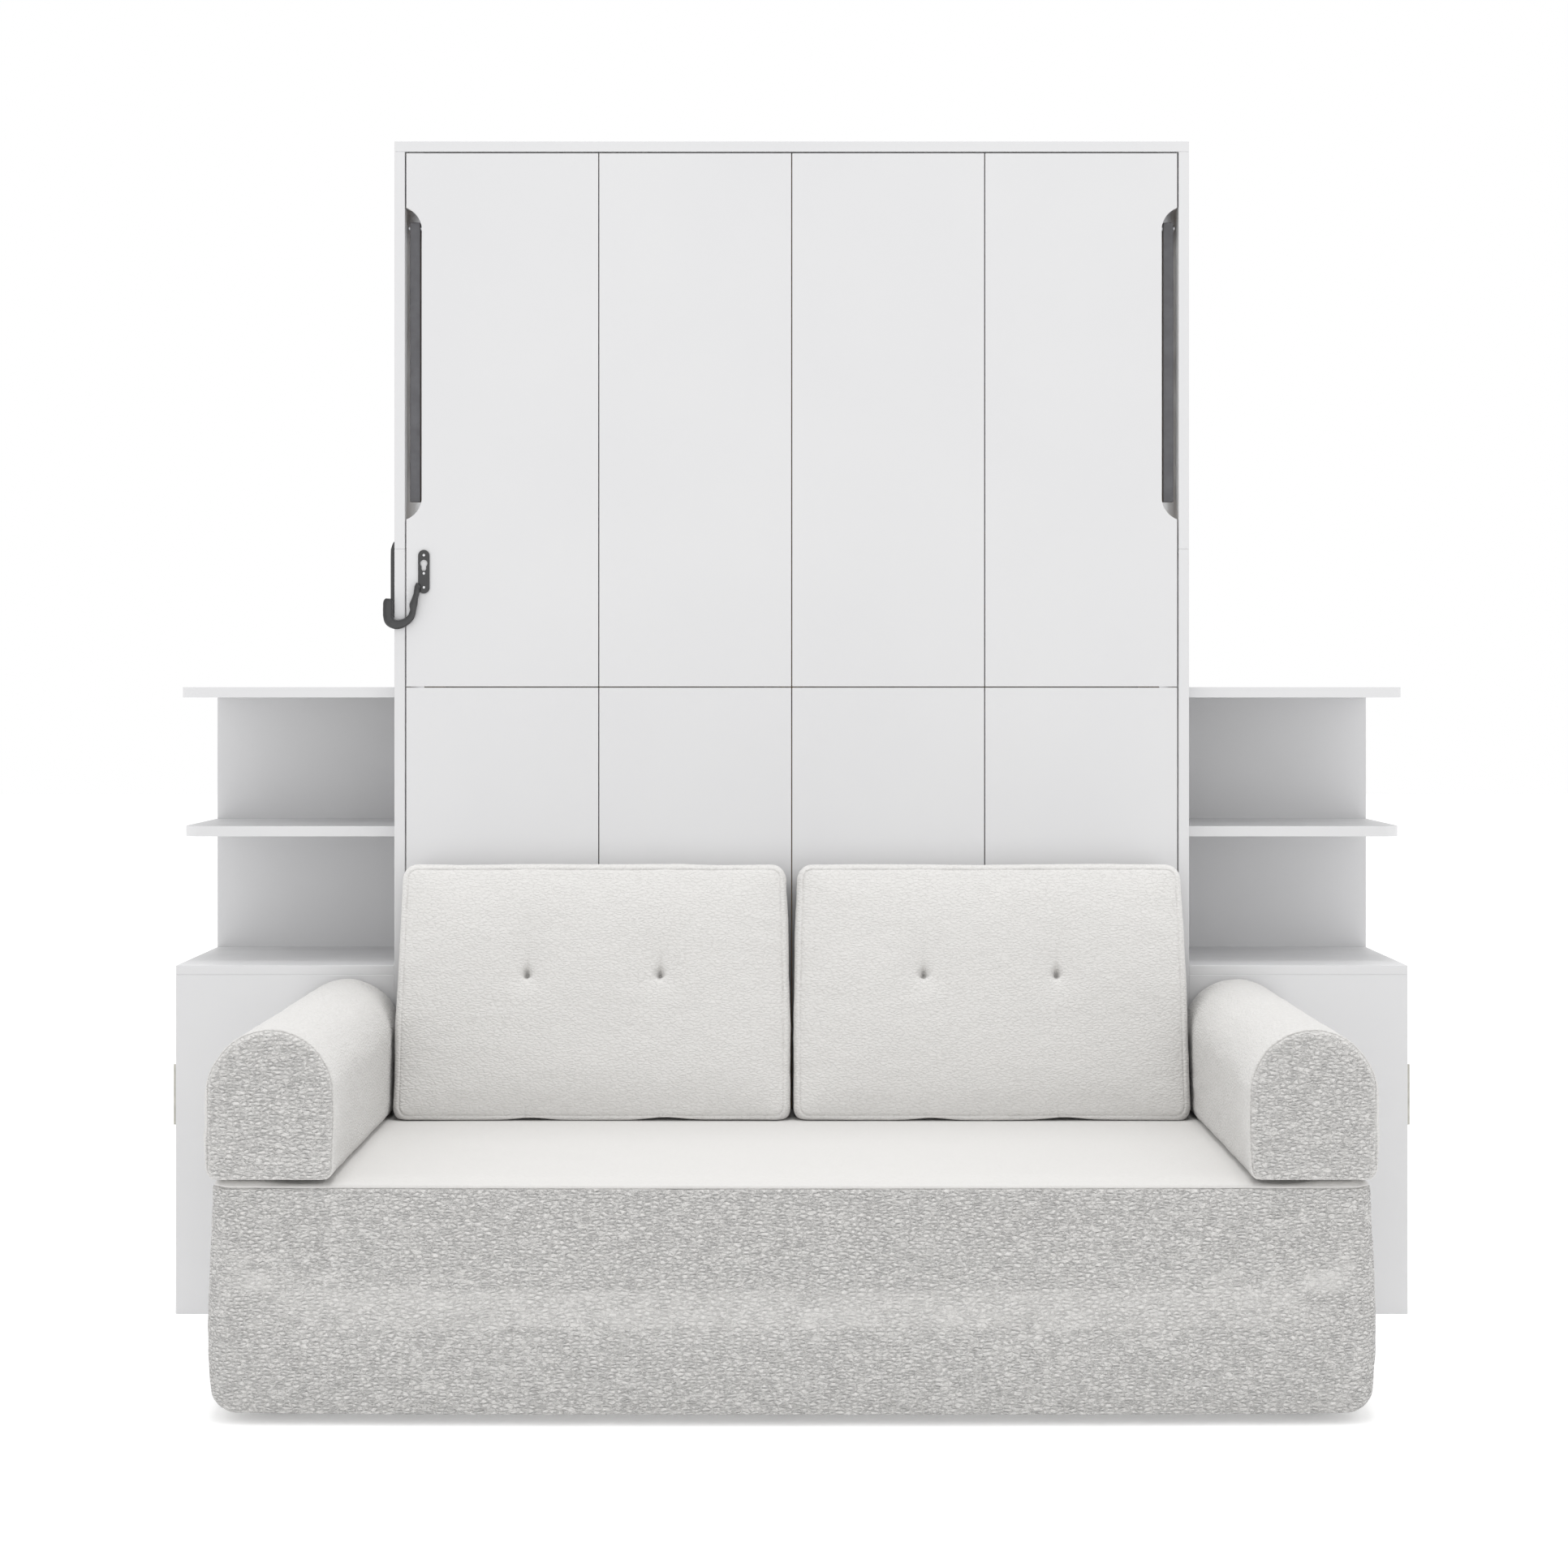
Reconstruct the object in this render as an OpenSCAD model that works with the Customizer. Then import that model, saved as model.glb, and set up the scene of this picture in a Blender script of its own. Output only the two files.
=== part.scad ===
// Wall bed with a vertical tilting bed, a low sofa in front and a shelf unit on each side.
// The bed front tilts forward and down between the armrests; support legs drop out of two
// side notches, gas struts carry the weight, and the back cushions tip flat onto the seat.
// Depths inside the modules are counted from the cabinet's front face: + to the wall, - to the room.

/* [Cabinet] */
// Outside width of the bed cabinet
cab_w = 1530; // [1400:5:1900]
// Overall height of the bed cabinet
cab_h = 2258; // [2200:1:2750]
// Depth of the cabinet from front face to wall
cab_d = 450; // [430:1:600]
// Thickness of the cabinet boards and of the shelves
board_t = 20; // [16:0.5:24]
// Height at which each side panel is split in two
side_split_z = 1473; // [1300:1:1600]
// Height of the fixed kick board below the bed front
kick_h = 282; // [240:1:284]
// Height of the upper wall-fixing rail
back_rail_h = 100; // [60:1:160]
// Radius of each wall screw hole
wall_hole_r = 3.5; // [2:0.1:6]
// Distance between the two wall screws, two stud bays
wall_hole_spacing = 812.8; // [400:0.1:1200]

/* [Bed] */
// Width of the mattress
mattress_w = 1372; // [1200:1:1372]
// Thickness of the mattress
mattress_t = 180; // [100:1:190]
// Gap between the bed front and the cabinet around it
front_gap = 3; // [2:0.5:6]
// Thickness of the bed front panels
front_t = 18; // [15:0.5:19]
// Gap between neighbouring front panels
panel_joint = 2; // [1:0.5:4]
// Height of the lower edge of the bed front
bed_bottom = 290; // [288:1:320]
// Height of the joint between the two rows of front panels
row_joint_z = 1207; // [1000:1:1400]
// Thickness of the bed frame rails
rail_t = 20; // [16:1:25]
// Depth of the bed frame rails behind the front panels
rail_d = 100; // [80:1:120]
// Clear lane between the bed rail and the cabinet side, for legs and struts
side_lane = 35; // [34:0.5:40]
// Height of the bed pivot
pivot_z = 555; // [550:1:600]
// Distance of the bed pivot behind the front face
pivot_back = 60; // [58:0.5:62]
// Number of slats
slat_n = 14; // [8:1:18]
// Width of one slat
slat_w = 68; // [50:1:80]
// Thickness of one slat
slat_t = 12; // [8:0.5:14]
// Thickness of the ledger under the slats
ledger_t = 13; // [10:0.5:18]

/* [Side notches and legs] */
// Depth of each notch in from the edge of the bed front
notch_depth = 30; // [28:0.5:31]
// Radius of the notch ends
notch_r = 47; // [44:0.5:52]
// How far the notch runs past the leg at each end
notch_extra = 35; // [32:0.5:60]
// Width of the square leg tube
leg_w = 20; // [16:0.5:21]
// Wall of the leg tube
leg_wall = 2; // [1:0.25:3]
// Distance of the leg pivot below the top of the stowed bed
leg_pivot_drop = 140; // [100:1:200]
// Distance of the leg pivot behind the front face
leg_pivot_back = 35; // [32:0.5:40]
// Radius of the leg pivot pin
leg_pin_r = 5; // [3:0.5:6]

/* [Pivot and gas struts] */
// Radius of the bed pivot shaft
shaft_r = 10; // [8:0.5:12]
// Running clearance on each radius
fit = 0.05; // [0.02:0.01:0.1]
// Radius of the bearing flange
flange_r = 38; // [30:1:40]
// Radius of the bearing boss
boss_r = 17; // [15:0.5:19]
// Outside radius of the gas strut cylinder
cyl_r = 11; // [9:0.5:11]
// Radius of the gas strut rod
rod_r = 5; // [4:0.5:5]
// Distance of the strut stud behind the front face
strut_back = 200; // [195:1:205]
// Height of the strut stud above the bed pivot
strut_up = 240; // [235:1:245]
// Distance of the strut pin below the bed pivot when stowed
strut_down = 75; // [74:1:76]
// Length of the gas strut cylinder
cyl_len = 190; // [160:1:195]
// Radius of the pin at the rod end
rod_pin_r = 4; // [3:0.5:4]
// Travel of the rod pin along its slot while the bed tilts
slot_travel = 18.4; // [18:0.1:20]

/* [Side units] */
// Width of one side unit
unit_w = 421; // [350:1:600]
// Height of the closed base of a side unit
base_h = 671; // [660:1:760]
// Thickness of the base panels
panel_t = 18; // [15:0.5:20]
// Thickness of the back panel
back_t = 14; // [8:0.5:18]
// Underside of the middle shelf
shelf_mid_z = 916; // [860:1:1000]
// Underside of the top shelf
shelf_top_z = 1187; // [1150:1:1300]
// Setback of the middle shelf's front edge
shelf_mid_set = 76; // [0:1:120]
// Setback of the top shelf's front edge
shelf_top_set = 43; // [0:1:120]
// Radius of the shelves' free front corner
shelf_r = 30; // [5:1:60]
// Gap around each door
door_gap = 3; // [2:0.5:4]
// Height of the door pull
pull_h = 117; // [60:1:200]
// Height of the lower end of the door pull
pull_z = 361; // [200:1:420]
// How far the door pull stands proud
pull_out = 9; // [7:0.5:14]
// Radius of the door hinge pin
hinge_pin_r = 2; // [1.5:0.25:3]
// Radius of the door hinge knuckles
knuckle_r = 4; // [3.5:0.25:5]

/* [Sofa] */
// Depth of the sofa
sofa_d = 909; // [880:1:1100]
// Gap between the sofa and the cabinet face
sofa_gap = 3; // [1:0.5:20]
// Height of the seat
seat_h = 395; // [340:1:398]
// Radius of the seat block's upright corners
seat_corner_r = 45; // [10:1:100]
// Height of the feet
foot_h = 18; // [10:1:40]
// Radius of the feet
foot_r = 25; // [15:1:40]
// Thickness of the board under the seat block
sofa_board_t = 18; // [12:0.5:25]
// Width of one armrest
arm_w = 205; // [150:1:205]
// Height of the armrest above the seat
arm_h = 254; // [180:1:260]
// Gap between each armrest and the bed front that passes it
arm_gap = 10; // [6:1:20]
// Setback of each armrest from the end of the seat block
arm_inset = 3; // [0:1:20]
// Thickness of a back cushion
cushion_t = 95; // [80:1:98]
// Height of a back cushion along its lean
cushion_h = 488; // [400:1:500]
// Lean of the back cushions
cushion_lean = 11.7; // [8:0.1:14]
// Distance of the cushions' lower front edge from the cabinet face
cushion_out = 195; // [194:1:210]
// Gap between the two cushions
cushion_split = 6; // [2:1:12]

/* [Latch] */
// Width of the latch plate on the bed front
latch_w = 22; // [18:1:26]
// Height of the latch plate
latch_h = 84; // [70:1:100]
// Thickness of the latch plate
latch_t = 3; // [2:0.5:5]
// Distance of the latch plate's middle from the centre line
latch_x = 708; // [700:1:712]
// Height of the latch plate's lower end
latch_z = 1387; // [1300:1:1500]
// Thickness of the hook
hook_t = 9; // [6:0.5:14]
// Width of the hook's bar
hook_w = 13; // [9:0.5:15]

/* [Hidden] */
$fn = 64;

// Plane of the cabinet's front face: the model's depth is centred on the origin
y_face = (sofa_d + sofa_gap - cab_d) / 2;
// Overshoot of cutting tools
cut = 1;

// Cabinet
half_w = cab_w / 2;
inner_x = half_w - board_t;
top_z = cab_h - board_t;
back_rail_t = 18;
wall_hole_z = top_z - back_rail_h / 2;
bottom_rail_z = 120;
bottom_rail_h = 120;
joint_plate_h = 100;
joint_plate_d = 160;
joint_plate_t = 4;
joint_plate_back = 30;
joint_hole_r = 3;

// Bed, measured in its stowed place
front_x = inner_x - front_gap;
bed_top = top_z - front_gap;
rail_x = inner_x - side_lane;
slat_u = front_t + ledger_t;
mattress_u = slat_u + slat_t;
mattress_gap = 1;
mattress_side_gap = 4;
// The mattress is never wider than the room between the rails
mattress_x = min(mattress_w / 2, rail_x - rail_t - mattress_side_gap);
ledger_w = 22;
panel_w = (2 * front_x - 3 * panel_joint) / 4;
panel_pitch = panel_w + panel_joint;
slat_run = bed_top - bed_bottom - 2 * rail_t;
slat_pitch = (slat_run - slat_w) / (slat_n - 1);
slat_side_gap = 2;

// Legs hang down to the floor when the bed is open
open_height = pivot_z - pivot_back;
leg_len = open_height + leg_pivot_back;
leg_pivot_z = bed_top - leg_pivot_drop;
leg_edge = 4;
leg_x = front_x - leg_edge - leg_w;
leg_pin_end = front_x - 1;
leg_cap_h = 25;

// Notches: as long as the legs and a little more, their round ends centred outside the panel edge
notch_x = front_x - notch_depth + notch_r;
notch_reach = sqrt(pow(notch_r, 2) - pow(notch_x - front_x, 2));
notch_c_low = leg_pivot_z - leg_len - notch_extra + notch_reach;
notch_c_high = leg_pivot_z + notch_extra - notch_reach;

// Pivot and strut lane
arm_plate_t = 5;
arm_x = rail_x + arm_plate_t;
arm_margin = 30;
arm_up = 70;
boss_x = arm_x + 2;
flange_t = 5;
flange_screw_r = 2.5;
flange_screw_n = 4;
flange_screw_pcr = 27;
shaft_end = inner_x - 1;
strut_x = rail_x + 18;
strut_stud_r = 5;
strut_eye_r = 11;
strut_eye_t = 12;
stud_flange_r = 16;
stud_flange_t = 3;
stud_tip_x = strut_x - strut_eye_t / 2 - 3;
strut_run_y = pivot_back - strut_back;
strut_run_z = -strut_down - strut_up;
strut_len = sqrt(pow(strut_run_y, 2) + pow(strut_run_z, 2));
strut_lean = atan2(-strut_run_y, -strut_run_z);
cyl_start = 15;
cyl_wall = 1.5;
gland_len = 14;
rod_inside = 150;
piston_len = 12;
rod_eye_r = 10;
rod_eye_t = 12;
rod_pin_tip = rail_x + 1;
slot_side = 3.6;
slot_r = rod_pin_r + slot_side + 0.3;

// Side units
unit_x = half_w + unit_w;
base_top_t = panel_t;
base_side_h = base_h - base_top_t;
back_face = cab_d - back_t;
base_top_set = 1;
door_x = unit_x - panel_t;
door_front = panel_t + door_gap;
door_back = back_face - door_gap;
door_low = door_gap;
door_high = base_side_h - door_gap;
hinge_x = unit_x + knuckle_r + 0.4;
hinge_back = back_face - 1;
hinge_len = 60;
hinge_leaf_t = 1.6;
hinge_leaf_w = 11;
hinge_zs = [90, door_high - 90 - hinge_len];
hinge_gap = 0.4;
pull_t = 2;
pull_w = 16;
pull_set = 5;

// Sofa
seat_front = -(sofa_gap + sofa_d);
arm_inner = front_x + arm_gap;
sofa_w = 2 * (arm_inner + arm_w + arm_inset);
arm_top_r = arm_w / 2;
arm_round_z = seat_h + arm_h - arm_top_r;
cushion_w = front_x + 1 - cushion_split / 2;
cushion_lift = 0.3;
sofa_board_inset = 45;
foot_inset = 115;

// Latch
latch_r = latch_w / 2;
screw_r = 2.4;
key_r = 7;
key_slot_r = 4.5;
hook_pin_x = latch_x + latch_r - 3;
hook_pin_z = latch_z + 13;
hook_pin_r = 2.5;
hook_head_r = 8;
hook_gap = 0.5;
hook_turn_r = 44;
hook_bar_x = hook_pin_x + 6;
hook_turn_z = hook_pin_z - 37;
knob_x0 = half_w + 1;
knob_w = 20;
knob_h = 59;
keeper_t = 8;
keeper_w = 24;
keeper_z0 = latch_z - 47;
keeper_h = 147;

// ---------- helpers ----------

// Depths in the children count from the cabinet's front face
module at_face() {
    translate([0, y_face, 0]) children();
}

// Box between two corners
module block(low, high) {
    translate(low) cube(high - low);
}

// Left pieces are the right pieces mirrored
module on_side(side) {
    if (side == "left") mirror([1, 0, 0]) children();
    else children();
}

module both_sides() {
    on_side("left") children();
    on_side("right") children();
}

// Round bar along X from x0 to x1
module bar_x(x0, x1, r, y, z) {
    translate([x0, y, z]) rotate([0, 90, 0]) cylinder(h = x1 - x0, r = r);
}

// Plate along X with a profile drawn in Y and Z
module profile_x(x0, x1) {
    translate([x0, 0, 0]) rotate([90, 0, 90]) linear_extrude(x1 - x0) children();
}

// Plate along Y with a profile drawn in X and Z, from y0 to y1
module profile_y(y0, y1) {
    translate([0, y1, 0]) rotate([90, 0, 0]) linear_extrude(y1 - y0) children();
}

// Rectangle with four round corners, between two corners
module round_rect(low, high, r) {
    union() {
        translate([low[0] + r, low[1]]) square([high[0] - low[0] - 2 * r, high[1] - low[1]]);
        translate([low[0], low[1] + r]) square([high[0] - low[0], high[1] - low[1] - 2 * r]);
        for (x = [low[0] + r, high[0] - r])
            for (y = [low[1] + r, high[1] - r])
                translate([x, y]) circle(r);
    }
}

// Slot with round ends, standing upright
module upright_slot(x, z0, z1, r) {
    union() {
        translate([x - r, z0]) square([2 * r, z1 - z0]);
        translate([x, z0]) circle(r);
        translate([x, z1]) circle(r);
    }
}

// ---------- cabinet ----------

module side_panel(z0, z1) {
    color("gainsboro") at_face()
        block([inner_x, 0, z0], [half_w, cab_d, z1]);
}

module side_left_lower() { on_side("left") side_panel(0, side_split_z); }
module side_left_upper() { on_side("left") side_panel(side_split_z, top_z); }
module side_right_lower() { on_side("right") side_panel(0, side_split_z); }
module side_right_upper() { on_side("right") side_panel(side_split_z, top_z); }

module top_panel() {
    color("gainsboro") at_face()
        block([-half_w, 0, top_z], [half_w, cab_d, cab_h]);
}

// Upper rail, screwed to the wall through two holes
module top_back_rail() {
    color("gainsboro") at_face() difference() {
        block([-inner_x, cab_d - back_rail_t, top_z - back_rail_h], [inner_x, cab_d, top_z]);
        for (x = [-wall_hole_spacing / 2, wall_hole_spacing / 2])
            translate([x, cab_d + cut, wall_hole_z]) rotate([90, 0, 0])
                cylinder(h = back_rail_t + 2 * cut, r = wall_hole_r);
    }
}

module bottom_back_rail() {
    color("gainsboro") at_face()
        block([-inner_x, cab_d - back_rail_t, bottom_rail_z],
              [inner_x, cab_d, bottom_rail_z + bottom_rail_h]);
}

// Fixed board across the cabinet, below the tilting front
module kick_board() {
    color("gainsboro") at_face()
        block([-inner_x, 0, 0], [inner_x, front_t, kick_h]);
}

// Steel plates that join the two halves of each side panel
module side_joint_plates() {
    y0 = cab_d - joint_plate_back - joint_plate_d;
    z0 = side_split_z - joint_plate_h / 2;
    color("silver") at_face() both_sides() difference() {
        block([inner_x - joint_plate_t, y0, z0],
              [inner_x, y0 + joint_plate_d, z0 + joint_plate_h]);
        for (y = [y0 + joint_plate_d / 5, y0 + joint_plate_d * 4 / 5])
            for (z = [z0 + joint_plate_h / 5, z0 + joint_plate_h * 4 / 5])
                bar_x(inner_x - joint_plate_t - cut, inner_x + cut, joint_hole_r, y, z);
    }
}

// ---------- bed pivot ----------

// Flanged bearings on the cabinet sides
module pivot_bearings() {
    color("dimgray") at_face() both_sides() difference() {
        union() {
            bar_x(inner_x - flange_t, inner_x, flange_r, pivot_back, pivot_z);
            bar_x(boss_x, inner_x - flange_t, boss_r, pivot_back, pivot_z);
        }
        bar_x(boss_x - cut, inner_x + cut, shaft_r + fit, pivot_back, pivot_z);
        for (i = [0 : flange_screw_n - 1])
            translate([0, pivot_back, pivot_z]) rotate([i * 360 / flange_screw_n, 0, 0])
                bar_x(inner_x - flange_t - cut, inner_x + cut, flange_screw_r, 0, flange_screw_pcr);
    }
}

// Steel arm on the bed rail with the pivot shaft and the strut's slot
module pivot_arm(side) {
    slot_z = pivot_z - strut_down;
    color("dimgray") at_face() on_side(side) {
        profile_x(rail_x, arm_x) difference() {
            round_rect([front_t + 4, slot_z - arm_margin],
                       [front_t + rail_d - 12, pivot_z + arm_up], 12);
            upright_slot(pivot_back, slot_z, slot_z + slot_travel, slot_r);
        }
        bar_x(arm_x, shaft_end, shaft_r, pivot_back, pivot_z);
    }
}

module pivot_arm_left() { pivot_arm("left"); }
module pivot_arm_right() { pivot_arm("right"); }

// ---------- gas struts ----------

// Studs that carry the cylinders on the cabinet sides
module strut_studs() {
    y = strut_back;
    z = pivot_z + strut_up;
    color("silver") at_face() both_sides() {
        bar_x(inner_x - stud_flange_t, inner_x, stud_flange_r, y, z);
        bar_x(stud_tip_x, inner_x - stud_flange_t, strut_stud_r, y, z);
    }
}

// Strut parts are drawn hanging straight down from the stud, then leaned to the pin
module strut_place(side) {
    at_face() on_side(side)
        translate([strut_x, strut_back, pivot_z + strut_up])
            rotate([-strut_lean, 0, 0]) children();
}

module strut_cylinder(side) {
    color("black") strut_place(side) difference() {
        union() {
            bar_x(-strut_eye_t / 2, strut_eye_t / 2, strut_eye_r, 0, 0);
            translate([0, 0, -cyl_start - cyl_len]) cylinder(h = cyl_len, r = cyl_r);
            block([-strut_eye_t / 2, -strut_eye_r / 2, -cyl_start - cut],
                  [strut_eye_t / 2, strut_eye_r / 2, -strut_eye_r / 2]);
        }
        bar_x(-strut_eye_t, strut_eye_t, strut_stud_r + fit, 0, 0);
        translate([0, 0, -cyl_start - cyl_len + gland_len])
            cylinder(h = cyl_len - gland_len - 4, r = cyl_r - cyl_wall);
        translate([0, 0, -cyl_start - cyl_len - cut])
            cylinder(h = gland_len + 2 * cut, r = rod_r + fit);
    }
}

module strut_cylinder_left() { strut_cylinder("left"); }
module strut_cylinder_right() { strut_cylinder("right"); }

// Rod with its piston inside the cylinder and its pin in the arm's slot
module strut_rod(side) {
    color("silver") strut_place(side) union() {
        translate([0, 0, rod_eye_r / 2 - strut_len])
            cylinder(h = strut_len - rod_inside - (rod_eye_r + piston_len) / 2, r = rod_r);
        translate([0, 0, -rod_inside - piston_len])
            cylinder(h = piston_len, r = cyl_r - cyl_wall - fit);
        bar_x(-rod_eye_t / 2, rod_eye_t / 2, rod_eye_r, 0, -strut_len);
        bar_x(rod_pin_tip - strut_x, 0, rod_pin_r, 0, -strut_len);
    }
}

module strut_rod_left() { strut_rod("left"); }
module strut_rod_right() { strut_rod("right"); }

// ---------- bed ----------

module front_panel(column, z0, z1) {
    x0 = -front_x + column * panel_pitch;
    block([x0, 0, z0], [x0 + panel_w, front_t, z1]);
}

// Notch for the leg, open at the panel's outer edge
module notch_cut() {
    profile_y(-cut, front_t + cut) union() {
        translate([notch_x - notch_r, notch_c_low])
            square([2 * notch_r, notch_c_high - notch_c_low]);
        for (z = [notch_c_low, notch_c_high])
            translate([notch_x, z]) circle(notch_r);
    }
}

module front_upper_outer(side) {
    color("gainsboro") at_face() on_side(side) difference() {
        front_panel(3, row_joint_z + panel_joint / 2, bed_top);
        notch_cut();
    }
}

module front_upper_left() { front_upper_outer("left"); }
module front_upper_right() { front_upper_outer("right"); }

module front_upper_middle() {
    color("gainsboro") at_face()
        for (column = [1, 2])
            front_panel(column, row_joint_z + panel_joint / 2, bed_top);
}

module front_lower() {
    color("gainsboro") at_face()
        for (column = [0 : 3])
            front_panel(column, bed_bottom, row_joint_z - panel_joint / 2);
}

module bed_side_rail(side) {
    color("burlywood") at_face() on_side(side)
        block([rail_x - rail_t, front_t, bed_bottom], [rail_x, front_t + rail_d, bed_top]);
}

module bed_rail_left() { bed_side_rail("left"); }
module bed_rail_right() { bed_side_rail("right"); }

module bed_end_rail(z0) {
    color("burlywood") at_face()
        block([rail_t - rail_x, front_t, z0], [rail_x - rail_t, front_t + rail_d, z0 + rail_t]);
}

module bed_rail_head() { bed_end_rail(bed_bottom); }
module bed_rail_foot() { bed_end_rail(bed_top - rail_t); }

module slat_ledgers() {
    x1 = rail_x - rail_t;
    color("burlywood") at_face() {
        both_sides() block([x1 - ledger_w, front_t, bed_bottom + rail_t],
                           [x1, slat_u, bed_top - rail_t]);
        block([-ledger_w, front_t, bed_bottom + rail_t], [ledger_w, slat_u, bed_top - rail_t]);
    }
}

module slats() {
    x1 = rail_x - rail_t - slat_side_gap;
    color("wheat") at_face()
        for (i = [0 : slat_n - 1]) {
            z0 = bed_bottom + rail_t + i * slat_pitch;
            block([-x1, slat_u, z0], [x1, mattress_u, z0 + slat_w]);
        }
}

module mattress() {
    color("white") at_face()
        block([-mattress_x, mattress_u, bed_bottom + rail_t + mattress_gap],
              [mattress_x, mattress_u + mattress_t, bed_top - rail_t - mattress_gap]);
}

// ---------- legs ----------

module leg_pins() {
    color("silver") at_face() both_sides() {
        bar_x(rail_x, leg_pin_end, leg_pin_r, leg_pivot_back, leg_pivot_z);
        bar_x(rail_x, rail_x + 6, 9, leg_pivot_back, leg_pivot_z);
    }
}

// Square tube with a closed foot, hung from its pin
module leg(side) {
    y0 = leg_pivot_back - leg_w / 2;
    x1 = leg_x + leg_w;
    z0 = leg_pivot_z - leg_len;
    z1 = leg_pivot_z + leg_w / 2;
    color("dimgray") at_face() on_side(side) difference() {
        block([leg_x, y0, z0], [x1, y0 + leg_w, z1]);
        block([leg_x + leg_wall, y0 + leg_wall, z0 + leg_cap_h],
              [x1 - leg_wall, y0 + leg_w - leg_wall, z1 + cut]);
        bar_x(leg_x - cut, x1 + cut, leg_pin_r + fit, leg_pivot_back, leg_pivot_z);
    }
}

module leg_left() { leg("left"); }
module leg_right() { leg("right"); }

// ---------- latch, on the left edge of the bed front ----------

// Plate with a keyhole, three screw holes and the pin that the hook turns on
module latch_plate() {
    z1 = latch_z + latch_h;
    color("black") at_face() on_side("left") {
        profile_y(-latch_t, 0) difference() {
            upright_slot(latch_x, latch_z + latch_r, z1 - latch_r, latch_r);
            for (z = [latch_z + 12, latch_z + 39, z1 - 10])
                translate([latch_x, z]) circle(screw_r);
            translate([latch_x, z1 - 26]) circle(key_r);
            upright_slot(latch_x, z1 - 36, z1 - 26, key_slot_r);
        }
        translate([hook_pin_x, 0, hook_pin_z]) rotate([90, 0, 0])
            cylinder(h = latch_t + hook_gap + hook_t + 2, r = hook_pin_r);
    }
}

// J-shaped hook that reaches round the cabinet's front edge
module latch_hook() {
    y1 = -latch_t - hook_gap;
    turn_x = hook_bar_x - hook_w / 2 + hook_turn_r;
    color("black") at_face() on_side("left") profile_y(y1 - hook_t, y1) difference() {
        union() {
            translate([hook_pin_x, hook_pin_z]) circle(hook_head_r);
            translate([hook_bar_x - hook_w / 2, hook_turn_z])
                square([hook_w, hook_pin_z - hook_turn_z]);
            intersection() {
                difference() {
                    translate([turn_x, hook_turn_z]) circle(hook_turn_r);
                    translate([turn_x, hook_turn_z]) circle(hook_turn_r - hook_w);
                }
                translate([turn_x - hook_turn_r, hook_turn_z - hook_turn_r])
                    square([hook_turn_r, hook_turn_r]);
            }
            translate([turn_x - cut, hook_turn_z - hook_turn_r])
                square([knob_x0 + knob_w - turn_x, hook_w]);
            round_rect([knob_x0, hook_turn_z - hook_turn_r],
                       [knob_x0 + knob_w, hook_turn_z - hook_turn_r + knob_h], 9);
        }
        translate([hook_pin_x, hook_pin_z]) circle(hook_pin_r + fit);
    }
}

// Keeper plate on the outer face of the cabinet's left side, behind the hook's end
module latch_keeper() {
    color("black") at_face() on_side("left") difference() {
        block([half_w, 1, keeper_z0], [half_w + keeper_t, 1 + keeper_w, keeper_z0 + keeper_h]);
        for (z = [keeper_z0 + 15, keeper_z0 + keeper_h - 15])
            bar_x(half_w - cut, half_w + keeper_t + cut, screw_r, 1 + keeper_w / 2, z);
    }
}

// ---------- side units ----------

module base_top(side) {
    color("gainsboro") at_face() on_side(side)
        block([half_w, base_top_set, base_side_h], [unit_x, back_face, base_h]);
}

module base_top_left() { base_top("left"); }
module base_top_right() { base_top("right"); }

module base_front(side) {
    color("gainsboro") at_face() on_side(side)
        block([half_w, 0, 0], [unit_x, panel_t, base_side_h]);
}

module base_front_left() { base_front("left"); }
module base_front_right() { base_front("right"); }

module back_panel(side) {
    color("gainsboro") at_face() on_side(side)
        block([half_w, back_face, 0], [unit_x, cab_d, shelf_top_z]);
}

module back_panel_left() { back_panel("left"); }
module back_panel_right() { back_panel("right"); }

module base_inner_sides() {
    color("gainsboro") at_face() both_sides()
        block([half_w, panel_t, 0], [half_w + panel_t, back_face, base_side_h]);
}

module base_bottoms() {
    color("gainsboro") at_face() both_sides()
        block([half_w + panel_t, panel_t, 0], [door_x - door_gap, back_face, panel_t]);
}

// Shelf with one round corner, at its free front end
module shelf(side, z0, setback, back) {
    color("gainsboro") at_face() on_side(side)
        translate([0, 0, z0]) linear_extrude(board_t) union() {
            translate([half_w, setback]) square([unit_w - shelf_r, back - setback]);
            translate([half_w, setback + shelf_r]) square([unit_w, back - setback - shelf_r]);
            translate([unit_x - shelf_r, setback + shelf_r]) circle(shelf_r);
        }
}

module shelf_middle_left() { shelf("left", shelf_mid_z, shelf_mid_set, back_face); }
module shelf_middle_right() { shelf("right", shelf_mid_z, shelf_mid_set, back_face); }
module shelf_top_left() { shelf("left", shelf_top_z, shelf_top_set, cab_d); }
module shelf_top_right() { shelf("right", shelf_top_z, shelf_top_set, cab_d); }

// ---------- doors, in the outer ends of the side units ----------

module door(side) {
    color("gainsboro") at_face() on_side(side)
        block([door_x, door_front, door_low], [unit_x, door_back, door_high]);
}

module door_left() { door("left"); }
module door_right() { door("right"); }

// Bent metal strip: a foot on the door and a lip standing proud
module door_pull(side) {
    y0 = door_front + pull_set;
    color("tan") at_face() on_side(side) translate([0, 0, pull_z]) linear_extrude(pull_h) union() {
        translate([unit_x, y0]) square([pull_t, pull_w]);
        translate([unit_x, y0]) square([pull_out, pull_t]);
    }
}

module door_pull_left() { door_pull("left"); }
module door_pull_right() { door_pull("right"); }

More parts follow.
